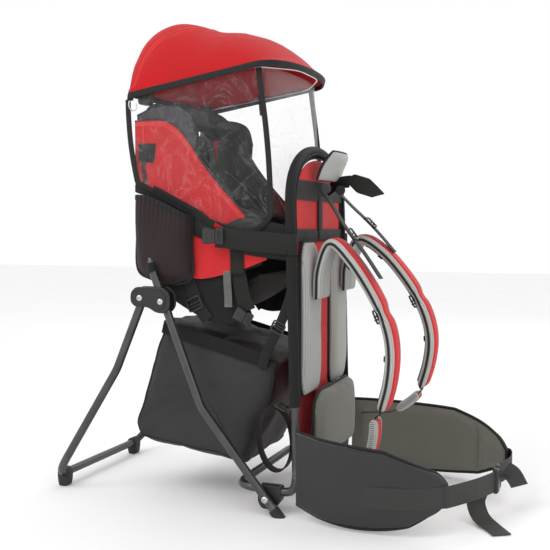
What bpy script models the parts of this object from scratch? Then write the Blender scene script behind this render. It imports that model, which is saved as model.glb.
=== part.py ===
"""Baby carrier backpack on its open kickstand.

Metres, +Z up. +X is the way the wearer walks, the child sits on the -X side, and the "near" side is -Y.
X is measured from the front feet while modelling; one empty then centres the whole carrier on the origin.
"""

import math

import bmesh
import bpy
from mathutils import Vector

# ---- driving dimensions ------------------------------------------------------------------------
TUBE_R = 0.008  # 16 mm aluminium tube
GAP = 0.0003  # clearance between pieces that touch
BACK_Y = 0.158  # half-width of the back frame, tube centre
STRUT_Y = 0.178  # half-width of the rear frame's struts and of the kickstand
UPPER_Y = 0.133  # half-width of the rear frame behind the child
PANEL_Y = 0.143  # inner face of the seat's side panels
SHIELD_Y = 0.150  # inner face of the rain shield
HOOP_Y = 0.1545  # wire hoop of the canopy
CANOPY_Y = 0.161  # outside of the canopy's rim
POCKET_Y = 0.157  # inner face of the mesh pockets
WEBBING_T = 0.0016
PIN_R = 0.004

RIVET = (-0.025, 0.0306)  # axis on which the frame folds, (x, z)
LEG_PIVOT = (-0.277, 0.394)  # axis of the kickstand
FRAME_SCREW = (-0.233, 0.388)
CANOPY_PIVOT = (-0.300, 0.788)
STRUT_BEND = (-0.156, 0.191)
FOOT_X = -0.482  # the kickstand's floor bar
FOOT_Y = 0.140  # rubber feet on that bar
BAR_Z = 0.026
FRAME_BASE_Z = 0.075  # joint of the back frame's legs with the foot loop
ARCH_Z = 0.560  # where the back frame's legs turn into its arch
ARCH_RISE = 0.116
BLOCK_Y = 0.1671  # outer face of the foot blocks, clear of the strut feet when the frame folds
CLIP_REAR = -0.3055  # rear face of the canopy clips, clear of the canopy when it tips back
SIDES = (("near", -1), ("far", 1))


# ---- helpers -----------------------------------------------------------------------------------
def clear_scene():
    for obj in list(bpy.data.objects):
        bpy.data.objects.remove(obj, do_unlink=True)


def material(name, colour, roughness, metallic=0.0, alpha=1.0):
    mat = bpy.data.materials.new(name)
    mat.use_nodes = True
    shader = mat.node_tree.nodes["Principled BSDF"]
    shader.inputs["Base Color"].default_value = (*colour, 1.0)
    shader.inputs["Roughness"].default_value = roughness
    shader.inputs["Metallic"].default_value = metallic
    shader.inputs["Alpha"].default_value = alpha
    return mat


def add_mesh(name, points, faces, mat, origin=(0, 0, 0), smooth_angle=0.6):
    """A mesh object whose points are given in the carrier's frame, with its own origin at `origin`."""
    origin = Vector(origin)
    mesh = bpy.data.meshes.new(name)
    mesh.from_pydata([Vector(p) - origin for p in points], [], faces)
    mesh.materials.append(mat)
    work = bmesh.new()
    work.from_mesh(mesh)
    bmesh.ops.recalc_face_normals(work, faces=work.faces)
    work.to_mesh(mesh)
    work.free()
    mesh.shade_smooth()
    mesh.set_sharp_from_angle(angle=smooth_angle)
    obj = bpy.data.objects.new(name, mesh)
    obj.location = origin
    bpy.context.scene.collection.objects.link(obj)
    return obj


def cut(obj, cutter):
    """Subtracts the cutter, which stays in the file as a hidden wire shape."""
    cutter.hide_render = True
    cutter.display_type = "WIRE"
    boolean = obj.modifiers.new("cut", "BOOLEAN")
    boolean.operation = "DIFFERENCE"
    boolean.solver = "EXACT"
    boolean.object = cutter


def filleted(corners, radii, steps=5):
    """A polyline through the corners with each inner corner rounded to its radius."""
    corners = [Vector(c) for c in corners]
    points = [corners[0]]
    for i in range(1, len(corners) - 1):
        before = (corners[i - 1] - corners[i]).normalized()
        after = (corners[i + 1] - corners[i]).normalized()
        half = before.angle(after) / 2
        reach = radii[i - 1] / math.tan(half)
        for k in range(steps + 1):
            t = k / steps
            start = corners[i] + before * reach
            end = corners[i] + after * reach
            points.append(start.lerp(corners[i], t).lerp(corners[i].lerp(end, t), t))
    points.append(corners[-1])
    return points


def smoothed(points, steps=4):
    """A Catmull-Rom curve through the points."""
    p = [Vector(q) for q in points]
    p = [2 * p[0] - p[1], *p, 2 * p[-1] - p[-2]]
    out = []
    for i in range(1, len(p) - 2):
        for k in range(steps):
            t = k / steps
            out.append(
                0.5
                * (
                    2 * p[i]
                    + (p[i + 1] - p[i - 1]) * t
                    + (2 * p[i - 1] - 5 * p[i] + 4 * p[i + 1] - p[i + 2]) * t**2
                    + (3 * p[i] - 3 * p[i + 1] + p[i + 2] - p[i - 1]) * t**3
                )
            )
    out.append(p[-2])
    return out


def directions(path):
    last = len(path) - 1
    return [(path[min(i + 1, last)] - path[max(i - 1, 0)]).normalized() for i in range(last + 1)]


def loft(name, rings, mat, closed=False, **kwargs):
    """Joins rings of equal length; the first and last become caps unless the loft is closed."""
    n = len(rings[0])
    points = [p for ring in rings for p in ring]
    faces = []
    spans = len(rings) if closed else len(rings) - 1
    for i in range(spans):
        a, b = i * n, (i + 1) % len(rings) * n
        for j in range(n):
            k = (j + 1) % n
            faces.append((a + j, a + k, b + k, b + j))
    if not closed:
        faces.append(tuple(reversed(range(n))))
        faces.append(tuple(range(len(points) - n, len(points))))
    return add_mesh(name, points, faces, mat, **kwargs)


def tube(name, path, radius, mat, sides=10, **kwargs):
    """A round bar along the path, its section carried along without twist."""
    tangents = directions(path)
    side = tangents[0].orthogonal().normalized()
    rings = []
    for point, tangent in zip(path, tangents):
        side = (side - tangent * side.dot(tangent)).normalized()
        up = tangent.cross(side)
        angles = [2 * math.pi * k / sides for k in range(sides)]
        rings.append([point + radius * (side * math.cos(a) + up * math.sin(a)) for a in angles])
    return loft(name, rings, mat, **kwargs)


def section(kind):
    """Corners of a unit section: a flat band, or a pad with rounded edges."""
    if kind == "flat":
        return [(-1, -1), (1, -1), (1, 1), (-1, 1)]
    return [(-1, -0.35), (-0.82, -1), (0.82, -1), (1, -0.35), (1, 0.35), (0.82, 1), (-0.82, 1), (-1, 0.35)]


def ribbon(name, path, across, half_width, half_thick, mat, kind="flat"):
    """A band along the path. Its width direction, half-width and half-thickness may each be a list."""
    tangents = directions(path)
    rings = []
    for i, (point, tangent) in enumerate(zip(path, tangents)):
        wide = across[i] if isinstance(across, list) else Vector(across)
        wide = (wide - tangent * wide.dot(tangent)).normalized()
        out = wide.cross(tangent)
        w = half_width[i] if isinstance(half_width, list) else half_width
        t = half_thick[i] if isinstance(half_thick, list) else half_thick
        rings.append([point + wide * w * a + out * t * b for a, b in section(kind)])
    return loft(name, rings, mat)


def plate(name, outline, y_low, y_high, mat):
    """An outline in X and Z, given thickness along Y."""
    rings = [[Vector((x, y, z)) for x, z in outline] for y in (y_low, y_high)]
    return loft(name, rings, mat)


def board(name, outline, x_low, x_high, mat):
    """An outline in Y and Z, given thickness along X."""
    rings = [[Vector((x, y, z)) for y, z in outline] for x in (x_low, x_high)]
    return loft(name, rings, mat)


def rounded(low_a, high_a, low_b, high_b, radius, steps=3):
    """A rectangle with round corners."""
    points = []
    for cx, cy, start in (
        (high_a - radius, high_b - radius, 0),
        (low_a + radius, high_b - radius, 90),
        (low_a + radius, low_b + radius, 180),
        (high_a - radius, low_b + radius, 270),
    ):
        for k in range(steps + 1):
            angle = math.radians(start + 90 * k / steps)
            points.append((cx + radius * math.cos(angle), cy + radius * math.sin(angle)))
    return points


def pin(name, place, y_inner, y_outer, sign, mat, radius=PIN_R, head_r=0.0065, head=0.002):
    """A rivet along Y with a head on each side, turned about its own axis at `place`."""
    x, z = place
    profile = [(y_inner - head, head_r), (y_inner, head_r), (y_inner, radius), (y_outer, radius)]
    profile += [(y_outer, head_r), (y_outer + head, head_r * 0.8)]
    rings = []
    for y, r in profile:
        angles = [2 * math.pi * k / 12 for k in range(12)]
        rings.append([Vector((x + r * math.cos(a), sign * y, z + r * math.sin(a))) for a in angles])
    return loft(name, rings, mat, origin=(x, sign * y_inner, z))


def drill(name, place, y_low, y_high, radius=PIN_R + GAP):
    x, z = place
    angles = [2 * math.pi * k / 12 for k in range(12)]
    outline = [(x + radius * math.cos(a), z + radius * math.sin(a)) for a in angles]
    return plate(name, outline, y_low, y_high, STEEL)


def make_buckle(prefix, centre, along, wide, length, width, thick, mat):
    """A side-release buckle: the female half is a pocket, and the male half's tongue sits in it."""
    along, wide, centre = Vector(along), Vector(wide), Vector(centre)
    up = along.cross(wide)

    def ring(x, half_w, half_t):
        return [centre + along * x + wide * half_w * a + up * half_t * b for a, b in section("pad")]

    w, t = width / 2, thick / 2
    female = [ring(-length, w * 0.8, t * 0.7), ring(-length * 0.8, w, t), ring(0, w, t)]
    female += [ring(0, w * 0.76, t * 0.56), ring(-length * 0.6, w * 0.7, t * 0.56)]
    male = [ring(-length * 0.55, w * 0.5, t * 0.4), ring(-length * 0.2, w * 0.68, t * 0.44)]
    male += [ring(GAP, w * 0.68, t * 0.44), ring(GAP, w, t * 0.9), ring(length * 0.55, w, t * 0.8)]
    loft(f"{prefix}_female", female, mat, origin=centre)
    loft(f"{prefix}_male", male, mat, origin=centre)


def ladder_lock(name, centre, along, wide, width, mat):
    """A webbing lock: a flat plate with a raised bar across it."""
    along, wide, centre = Vector(along).normalized(), Vector(wide).normalized(), Vector(centre)
    up = along.cross(wide)
    w, length = width / 2, width * 0.55
    rings = []
    stations = [(-1, 0.8, 0.0015), (-0.8, 1, 0.0025), (-0.15, 1, 0.0025)]
    stations += [(0.25, 1, 0.004), (1, 0.9, 0.002)]
    for x, scale, t in stations:
        middle = centre + along * x * length + up * t
        rings.append([middle + wide * w * scale * a + up * t * b for a, b in section("pad")])
    return loft(name, rings, mat, origin=centre)


# ---- materials ---------------------------------------------------------------------------------
def make_materials():
    return {
        "red": material("red_fabric", (0.78, 0.03, 0.03), 0.7),
        "charcoal": material("charcoal_fabric", (0.05, 0.05, 0.052), 0.75),
        "black": material("black_fabric", (0.02, 0.02, 0.019), 0.85),
        "mesh": material("grey_air_mesh", (0.38, 0.38, 0.36), 0.9),
        "olive": material("olive_air_mesh", (0.145, 0.14, 0.115), 0.9),
        "webbing": material("black_webbing", (0.022, 0.022, 0.02), 0.8),
        "tube": material("gunmetal_tube", (0.1, 0.1, 0.105), 0.35, 0.85),
        "plastic": material("black_plastic", (0.015, 0.015, 0.016), 0.45),
        "rubber": material("black_rubber", (0.012, 0.012, 0.012), 0.8),
        "steel": material("steel_wire", (0.5, 0.5, 0.5), 0.3, 1.0),
        "clear": material("clear_sheet", (0.95, 0.96, 0.97), 0.08, 0.0, 0.25),
    }


clear_scene()
MATERIALS = make_materials()
RED, CHARCOAL, BLACK = MATERIALS["red"], MATERIALS["charcoal"], MATERIALS["black"]
MESH, OLIVE, WEBBING = MATERIALS["mesh"], MATERIALS["olive"], MATERIALS["webbing"]
TUBE, PLASTIC, RUBBER = MATERIALS["tube"], MATERIALS["plastic"], MATERIALS["rubber"]
STEEL, CLEAR = MATERIALS["steel"], MATERIALS["clear"]


# ---- back frame --------------------------------------------------------------------------------
def leg_x(z):
    """The back frame leans a little towards the child as it rises."""
    return 0.027 - (z - FRAME_BASE_Z) * 0.026


def arch_point(angle, inset=0.0):
    y = -(BACK_Y - inset) * math.cos(angle)
    z = ARCH_Z + (ARCH_RISE - inset) * math.sin(angle) ** 0.8
    return y, z


def back_frame_path():
    base = FRAME_BASE_Z + 4 * GAP
    path = [Vector((leg_x(z), -BACK_Y, z)) for z in (base, 0.20, 0.33, 0.46)]
    for k in range(17):
        y, z = arch_point(math.pi * k / 16)
        path.append(Vector((leg_x(z), y, z)))
    path += [Vector((p.x, -p.y, p.z)) for p in reversed(path[:4])]
    return path


def foot_loop_path():
    """From the near leg's base, back round under the bag, and up to the far leg's base."""
    corners = []
    for x, z in ((leg_x(FRAME_BASE_Z), FRAME_BASE_Z), (0.024, 0.040), (-0.092, 0.046)):
        corners.append((x, -BACK_Y, z))
    corners += [(x, -y, z) for x, y, z in reversed(corners)]
    return filleted(corners, (0.022, 0.04, 0.04, 0.022))


def make_foot_block(side, sign):
    """Joins the foot loop to the strut, and carries the frame's folding rivet."""
    outline = [(-0.046, 0.052), (-0.046, 0.020), (-0.038, 0.008), (-0.016, 0.008), (0.000, 0.026)]
    outline += [(0.000, 0.052)]
    block = plate(f"foot_block_{side}", outline, *sorted((sign * 0.147, sign * BLOCK_Y)), PLASTIC)
    channel = tube(f"cut_channel_{side}", foot_loop_path(), TUBE_R + GAP, PLASTIC)
    cut(block, channel)
    cut(block, drill(f"cut_block_hole_{side}", RIVET, *sorted((sign * 0.14, sign * 0.18))))


def make_back_frame():
    tube("back_frame_tube", back_frame_path(), TUBE_R, TUBE)
    tube("foot_loop", foot_loop_path(), TUBE_R, TUBE)
    for side, sign in SIDES:
        make_foot_block(side, sign)


# ---- back panel and pads -----------------------------------------------------------------------
PANEL_X = 0.0125
PAD_X = PANEL_X + 0.006


def make_back_panel():
    inset = 2 * TUBE_R + 0.002
    wide, narrow = BACK_Y - inset, 0.128
    outline = [(-wide, 0.24), (-narrow, 0.21), (-narrow, 0.10)]
    outline += [(narrow, 0.10), (narrow, 0.21), (wide, 0.24)]
    outline += [(-y, z) for y, z in (arch_point(math.pi * k / 12, inset) for k in range(13))]
    board("back_panel", outline, PANEL_X, PANEL_X + 0.005, RED)


def make_headrest_pad():
    path = smoothed([(0.034, 0, 0.618), (0.044, 0, 0.645), (0.060, 0, 0.672)])
    widths = [0.062 - 0.016 * (k / (len(path) - 1)) ** 2 for k in range(len(path))]
    ribbon("headrest_pad", path, (0, 1, 0), widths, 0.011, MESH, "pad")


def make_back_pads():
    for side, sign in SIDES:
        outline = [(0.040, 0.215), (0.118, 0.215), (0.134, 0.250), (0.134, 0.470), (0.124, 0.500)]
        outline += [(0.070, 0.500), (0.048, 0.478), (0.040, 0.450)]
        outline = [(sign * y, z) for y, z in outline]
        board(f"back_pad_{side}", outline, PAD_X, PAD_X + 0.020, MESH)
    board("back_centre_strip", rounded(-0.036, 0.036, 0.190, 0.450, 0.006), PAD_X, PAD_X + 0.009, RED)
    lumbar = [(-0.125, 0.090), (0.125, 0.090), (0.125, 0.190)]
    lumbar += [(0.100, 0.222), (-0.100, 0.222), (-0.125, 0.190)]
    board("lumbar_pad", lumbar, PAD_X + 0.0215, PAD_X + 0.045, OLIVE)


# ---- shoulder straps ---------------------------------------------------------------------------
STRAP_HALF_W = 0.034
STRAP_HALF_T = 0.011
NEAR_STRAP = [(0.052, -0.088, 0.395), (0.055, -0.088, 0.450), (0.076, -0.088, 0.498)]
NEAR_STRAP += [(0.112, -0.088, 0.468), (0.153, -0.088, 0.408), (0.180, -0.088, 0.350)]
NEAR_STRAP += [(0.189, -0.088, 0.300), (0.185, -0.088, 0.245), (0.172, -0.088, 0.193)]
FAR_STRAP = [(0.052, 0.088, 0.400), (0.056, 0.088, 0.455), (0.082, 0.088, 0.503)]
FAR_STRAP += [(0.130, 0.088, 0.478), (0.180, 0.090, 0.420), (0.213, 0.090, 0.362)]
FAR_STRAP += [(0.226, 0.090, 0.310), (0.222, 0.090, 0.260), (0.208, 0.090, 0.210)]


def make_shoulder_strap(side, points, stub, tail):
    """A padded strap, its padded lower stub, and the webbing that joins them to the lumbar pad."""
    path = smoothed(points, 3)
    tangents = directions(path)
    widths, thicknesses = [STRAP_HALF_W] * len(path), [STRAP_HALF_T] * len(path)
    lock_at, tangent = path[16], tangents[16]
    band_w, band_t, stub_w, stub_t = 0.0125, 0.0015, 0.024, 0.009
    top, bottom = Vector(stub[0]), Vector(stub[1])
    step = (bottom - top).normalized() * 0.002
    start = path[-1] + tangents[-1] * 0.002
    for point, w, t in (
        (start, band_w, band_t),
        (top - step, band_w, band_t),
        (top, stub_w, stub_t),
        (bottom, stub_w, stub_t),
        (bottom + step, band_w, band_t),
        *((Vector(p), band_w, band_t) for p in tail),
    ):
        path.append(point)
        widths.append(w)
        thicknesses.append(t)
    wide = (0, -1, 0)
    ribbon(f"shoulder_strap_{side}", path, wide, widths, thicknesses, RED, "pad")
    outward = Vector(wide).cross(tangent).normalized()
    lock_at = lock_at + outward * (STRAP_HALF_T + 0.003)
    ladder_lock(f"strap_lock_{side}", lock_at, tangent, (0, 1, 0), 0.036, PLASTIC)


def make_shoulder_straps():
    near_stub = ((0.158, -0.092, 0.176), (0.150, -0.094, 0.112))
    near_tail = [(0.136, -0.100, 0.090), (0.112, -0.106, 0.082), (0.082, -0.110, 0.088)]
    make_shoulder_strap("near", NEAR_STRAP, near_stub, near_tail)
    far_stub = ((0.200, 0.094, 0.194), (0.158, 0.098, 0.160))
    far_tail = [(0.140, 0.099, 0.152), (0.112, 0.100, 0.150), (0.082, 0.102, 0.146)]
    make_shoulder_strap("far", FAR_STRAP, far_stub, far_tail)


def make_load_lifters():
    """Straps from the top of the back panel down to the shoulder straps."""
    near = [(0.046, -0.052, 0.592), (0.066, -0.060, 0.566), (0.094, -0.074, 0.528), (0.132, -0.084, 0.482)]
    near += [(0.166, -0.088, 0.434)]
    far = [(0.046, 0.060, 0.592), (0.066, 0.068, 0.570), (0.090, 0.080, 0.545), (0.118, 0.086, 0.515)]
    far += [(0.150, 0.088, 0.478)]
    for side, points in (("near", near), ("far", far)):
        path = smoothed(points, 3)
        ribbon(f"load_lifter_{side}", path, (0, -1, 0), 0.0125, WEBBING_T / 2, WEBBING)


# ---- hip belt ----------------------------------------------------------------------------------
NEAR_WING = [(0.036, -0.177), (0.088, -0.199), (0.150, -0.209), (0.215, -0.208)]
NEAR_WING += [(0.265, -0.192), (0.302, -0.160)]
FAR_WING = [(0.036, 0.177), (0.092, 0.198), (0.160, 0.2085), (0.235, 0.2085)]
FAR_WING += [(0.310, 0.184), (0.370, 0.120)]
WING_HALF_T = 0.009
BELT_Z = 0.068
BUCKLE_AT = (0.368, -0.004, 0.064)


def wing_rings(points):
    """The wing's middle line, with its lower and upper edge at each point."""
    path = smoothed([(x, y, 0) for x, y in points], 4)
    rings = []
    last = len(path) - 1
    for k, point in enumerate(path):
        t = k / last
        low = 0.026 - 0.018 * math.sin(math.pi * min(t * 1.15, 1)) + 0.022 * max(0, t - 0.75) / 0.25
        high = 0.158 - 0.022 * t - 0.036 * max(0, t - 0.6) / 0.4
        rings.append((point, low, high))
    return rings


def make_wing(side, points):
    rings = wing_rings(points)
    path = [Vector((p.x, p.y, (low + high) / 2)) for p, low, high in rings]
    flat = [Vector((p.x, p.y, 0)) for p in path]
    halves = [(high - low) / 2 for _, low, high in rings]
    tangents = directions(flat)
    loops = []
    for point, tangent, half in zip(path, tangents, halves):
        out = Vector((tangent.y, -tangent.x, 0))
        loops.append([point + Vector((0, 0, half * a)) + out * WING_HALF_T * b for a, b in section("pad")])
    loft(f"hip_belt_{side}", loops, CHARCOAL)


def make_hip_belt():
    make_wing("near", NEAR_WING)
    make_wing("far", FAR_WING)
    half = 0.019
    lift = WING_HALF_T + 0.002
    up = (0, 0, 1)
    near_end = [(0.345, -0.098, 0.066), (0.366, -0.036, 0.064)]
    far_end = [(0.383, 0.080, 0.066), (0.369, 0.030, 0.064)]
    for side, points, sign, end in (("near", NEAR_WING, 1, near_end), ("far", FAR_WING, -1, far_end)):
        middle = smoothed([(x, y, 0) for x, y in points], 4)
        tangents = directions(middle)
        start = len(middle) // 2 - 1
        path = []
        for point, tangent in zip(middle[start:], tangents[start:]):
            out = Vector((tangent.y, -tangent.x, 0)) * sign
            path.append(Vector((point.x, point.y, BELT_Z)) + out * lift)
        bend = smoothed([path[-2], path[-1], *[Vector(e) for e in end]], 3)
        ribbon(f"hip_webbing_{side}", path[:-2] + bend, up, half, WEBBING_T / 2, WEBBING)
    make_buckle("hip_buckle", BUCKLE_AT, (0, 1, 0), (0, 0, 1), 0.030, 0.046, 0.012, PLASTIC)
    near_tail = [(0.343, -0.058, 0.052), (0.338, -0.067, 0.033), (0.350, -0.086, 0.012)]
    near_tail += [(0.374, -0.110, 0.004)]
    near_tail = smoothed([*near_tail, (0.393, -0.139, 0.0026)], 3)
    across = [Vector((0.80, 0.50, 0.30 * (1 - k / 9))) for k in range(9)] + [Vector((0.84, 0.54, 0))] * 4
    ribbon("hip_tail_near", near_tail, across, 0.017, WEBBING_T / 2, WEBBING)
    far_tail = [(0.377, 0.036, 0.070), (0.388, 0.030, 0.067), (0.397, 0.022, 0.060)]
    far_tail += [(0.4065, 0.012, 0.048)]
    ribbon("hip_tail_far", smoothed(far_tail, 3), (0.0, 0.75, 0.65), 0.017, WEBBING_T / 2, WEBBING)


# ---- rear frame --------------------------------------------------------------------------------
def strut_start():
    along = Vector((STRUT_BEND[0], STRUT_BEND[1])).normalized()
    return along, along * (0.016 + GAP)


def rear_frame_path():
    _, start = strut_start()
    near = [(start.x, -STRUT_Y, start.y), (STRUT_BEND[0], -STRUT_Y, STRUT_BEND[1])]
    near += [(FRAME_SCREW[0], -STRUT_Y, FRAME_SCREW[1]), (-0.258, -STRUT_Y, 0.450)]
    near += [(-0.286, -UPPER_Y, 0.555), (-0.292, -UPPER_Y, 0.765)]
    corners = near + [(x, -y, z) for x, y, z in reversed(near)]
    radii = (0.06, 0.08, 0.04, 0.04, 0.05)
    return filleted(corners, radii + tuple(reversed(radii)), 4)


def make_strut_foot(side, sign):
    along, _ = strut_start()
    across = Vector((along.y, -along.x))
    half = 0.0105
    top_back = along * 0.016 - across * half
    top_front = along * 0.016 + across * half
    slope = along.x / along.y
    floor_back = top_back.x - top_back.y * slope
    floor_front = top_front.x - top_front.y * slope
    outline = [(top_back.x, top_back.y), (floor_back, 0.0), (floor_front, 0.0), (top_front.x, top_front.y)]
    low, high = sorted((sign * (STRUT_Y - half), sign * (STRUT_Y + half)))
    plate(f"strut_foot_{side}", outline, low, high, RUBBER)


def make_bracket(side, sign):
    """Holds the strut by a screw, and leaves a slot in which the kickstand's leg swings."""
    outline = [(-0.297, 0.386), (-0.297, 0.404), (-0.286, 0.415), (-0.226, 0.415), (-0.213, 0.402)]
    outline += [(-0.213, 0.378), (-0.222, 0.366), (-0.242, 0.366), (-0.260, 0.377), (-0.288, 0.377)]
    low, high = sorted((sign * 0.1645, sign * 0.1925))
    bracket = plate(f"hinge_bracket_{side}", outline, low, high, PLASTIC)
    cut(bracket, tube(f"cut_strut_way_{side}", rear_frame_path(), TUBE_R + GAP, PLASTIC))
    slot = [(-0.291, 0.4085), (-0.262, 0.4085), (-0.258, 0.340), (-0.345, 0.340)]
    low, high = sorted((sign * (STRUT_Y - 0.0086), sign * (STRUT_Y + 0.0086)))
    cut(bracket, plate(f"cut_leg_slot_{side}", slot, low, high, PLASTIC))
    for label, place in (("screw", FRAME_SCREW), ("pivot", LEG_PIVOT)):
        low, high = sorted((sign * 0.160, sign * 0.197))
        cut(bracket, drill(f"cut_{label}_{side}", place, low, high))


def make_canopy_clip(side, sign):
    outline = rounded(CLIP_REAR, -0.278, 0.739, 0.799, 0.004, 2)
    low, high = sorted((sign * 0.108, sign * 0.1485))
    clip = plate(f"canopy_clip_{side}", outline, low, high, PLASTIC)
    cut(clip, tube(f"cut_clip_way_{side}", rear_frame_path(), TUBE_R + GAP, PLASTIC))
    low, high = sorted((sign * 0.118, sign * 0.155))
    cut(clip, drill(f"cut_clip_hole_{side}", CANOPY_PIVOT, low, high, 0.002 + GAP))


def make_rear_frame():
    frame = tube("rear_frame_tube", rear_frame_path(), TUBE_R, TUBE)
    for side, sign in SIDES:
        for label, place in (("rivet", RIVET), ("screw", FRAME_SCREW)):
            low, high = sorted((sign * (STRUT_Y - 0.02), sign * (STRUT_Y + 0.02)))
            cut(frame, drill(f"cut_tube_{label}_{side}", place, low, high))
        make_strut_foot(side, sign)
        pin(f"strut_rivet_{side}", RIVET, 0.1465, STRUT_Y + TUBE_R + 0.0005, sign, STEEL)
        make_bracket(side, sign)
        pin(f"bracket_screw_{side}", FRAME_SCREW, 0.164, 0.193, sign, STEEL)
        pin(f"leg_pivot_{side}", LEG_PIVOT, 0.164, 0.193, sign, STEEL)
        make_canopy_clip(side, sign)


# ---- kickstand ---------------------------------------------------------------------------------
def kickstand_path():
    near = [(-0.2721, -STRUT_Y, 0.4027), (-0.336, -STRUT_Y, 0.252), (FOOT_X, -STRUT_Y + 0.006, BAR_Z)]
    corners = near + [(x, -y, z) for x, y, z in reversed(near)]
    return filleted(corners, (0.10, 0.045, 0.045, 0.10))


def make_kickstand():
    stand = tube("kickstand_tube", kickstand_path(), TUBE_R, TUBE)
    bar = tube("cut_bar", kickstand_path(), TUBE_R + GAP, TUBE)
    for side, sign in SIDES:
        low, high = sorted((sign * (STRUT_Y - 0.02), sign * (STRUT_Y + 0.02)))
        cut(stand, drill(f"cut_leg_hole_{side}", LEG_PIVOT, low, high))
        profile = [(-0.013, 0.006), (-0.009, 0.0), (0.009, 0.0), (0.013, 0.006), (0.013, 0.030), (-0.013, 0.030)]
        outline = [(FOOT_X + x, z) for x, z in profile]
        low, high = sign * FOOT_Y - 0.011, sign * FOOT_Y + 0.011
        foot = plate(f"kickstand_foot_{side}", outline, low, high, RUBBER)
        cut(foot, bar)


# ---- child's seat ------------------------------------------------------------------------------
def make_seat():
    side_outline = [(-0.306, 0.578), (-0.306, 0.735), (-0.242, 0.735), (-0.206, 0.702), (-0.163, 0.644)]
    side_outline += [(-0.074, 0.553), (-0.052, 0.530), (-0.052, 0.452), (-0.235, 0.436), (-0.235, 0.578)]
    for side, sign in SIDES:
        low, high = sorted((sign * PANEL_Y, sign * (PANEL_Y + 0.006)))
        plate(f"seat_side_{side}", side_outline, low, high, RED)
        pocket = [(-0.287, 0.428), (-0.287, 0.596), (-0.182, 0.545), (-0.182, 0.420), (-0.262, 0.420)]
        low, high = sorted((sign * POCKET_Y, sign * (POCKET_Y + 0.032)))
        solid = plate(f"mesh_pocket_{side}", pocket, low, high, BLACK)
        cut(solid, tube(f"cut_pocket_way_{side}", rear_frame_path(), TUBE_R + 0.001, BLACK))
        low, high = sorted((sign * 0.1690, sign * 0.1720))
        webbing = [(-0.150, 0.494), (-0.150, 0.530), (0.034, 0.530), (0.034, 0.466), (-0.060, 0.466)]
        webbing += [(-0.110, 0.480)]
        plate(f"side_webbing_{side}", webbing, low, high, WEBBING)
        low, high = sorted((sign * 0.1725, sign * 0.1825))
        plate(f"side_buckle_{side}", rounded(-0.152, -0.112, 0.497, 0.527, 0.006), low, high, PLASTIC)
    board("seat_back", rounded(-0.118, 0.118, 0.430, 0.722, 0.02), -0.272, -0.254, BLACK)
    hammock = [(-0.262, 0, 0.418), (-0.225, 0, 0.385), (-0.165, 0, 0.368), (-0.105, 0, 0.392)]
    hammock = smoothed(hammock + [(-0.060, 0, 0.440)])
    ribbon("seat_bottom", hammock, (0, 1, 0), 0.130, 0.006, BLACK, "pad")


def make_collar():
    """The padded rim round the child's shoulders and head."""
    half = [(-0.104, -0.129, 0.548), (-0.152, -0.129, 0.602), (-0.192, -0.129, 0.656)]
    half += [(-0.220, -0.127, 0.706), (-0.244, -0.112, 0.742), (-0.258, -0.075, 0.752)]
    points = half + [(-0.264, 0.0, 0.756)] + [(x, -y, z) for x, y, z in reversed(half)]
    path = smoothed(points, 3)
    across = []
    for point in path:
        across.append(Vector((0.45, 0, 1)) if abs(point.y) > 0.1 else Vector((0.1, 0, 1)))
    ribbon("seat_collar", path, across, 0.022, 0.0105, CHARCOAL, "pad")


def make_harness():
    """The child's harness: two shoulder webbings that meet at a buckle."""
    for side, sign in SIDES:
        points = [(-0.244, sign * 0.050, 0.700), (-0.236, sign * 0.050, 0.640), (-0.215, sign * 0.040, 0.560)]
        points += [(-0.196, sign * 0.022, 0.512)]
        ribbon(f"harness_webbing_{side}", smoothed(points, 3), (0, 1, 0), 0.0125, WEBBING_T, WEBBING)
    board("harness_buckle", rounded(-0.026, 0.026, 0.466, 0.508, 0.01), -0.194, -0.182, PLASTIC)


def make_bag():
    outline = [(-0.338, 0.134), (-0.330, 0.112), (-0.304, 0.100), (-0.112, 0.074), (-0.092, 0.084)]
    outline += [(-0.034, 0.196), (-0.022, 0.268), (-0.034, 0.284), (-0.250, 0.342), (-0.272, 0.332)]
    plate("storage_bag", outline, -0.124, 0.124, CHARCOAL)
    for side, sign in SIDES:
        stirrup = []
        for k in range(20):
            angle = 2 * math.pi * k / 20
            x = -0.019 + 0.032 * math.cos(angle) - 0.004 * math.sin(angle)
            z = 0.137 + 0.060 * math.sin(angle)
            stirrup.append((x, z, math.cos(angle), math.sin(angle)))
        rings = []
        for x, z, c, s in stirrup:
            inner, outer = Vector((x, 0, z)), Vector((x + 0.0024 * c, 0, z + 0.0024 * s))
            low, high = Vector((0, sign * 0.1475 - 0.0125, 0)), Vector((0, sign * 0.1475 + 0.0125, 0))
            rings.append([inner + low, inner + high, outer + high, outer + low])
        loft(f"stirrup_{side}", rings, WEBBING, closed=True)


# ---- canopy ------------------------------------------------------------------------------------
RIDGE = [(-0.325, 0.790), (-0.337, 0.850), (-0.324, 0.902), (-0.296, 0.932), (-0.258, 0.941), (-0.212, 0.932)]
RIDGE += [(-0.168, 0.917), (-0.118, 0.909), (-0.068, 0.892), (-0.028, 0.866), (0.006, 0.832)]
RIM_REAR = (-0.313, 0.783)
RIM_FRONT = (-0.050, 0.826)


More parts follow.
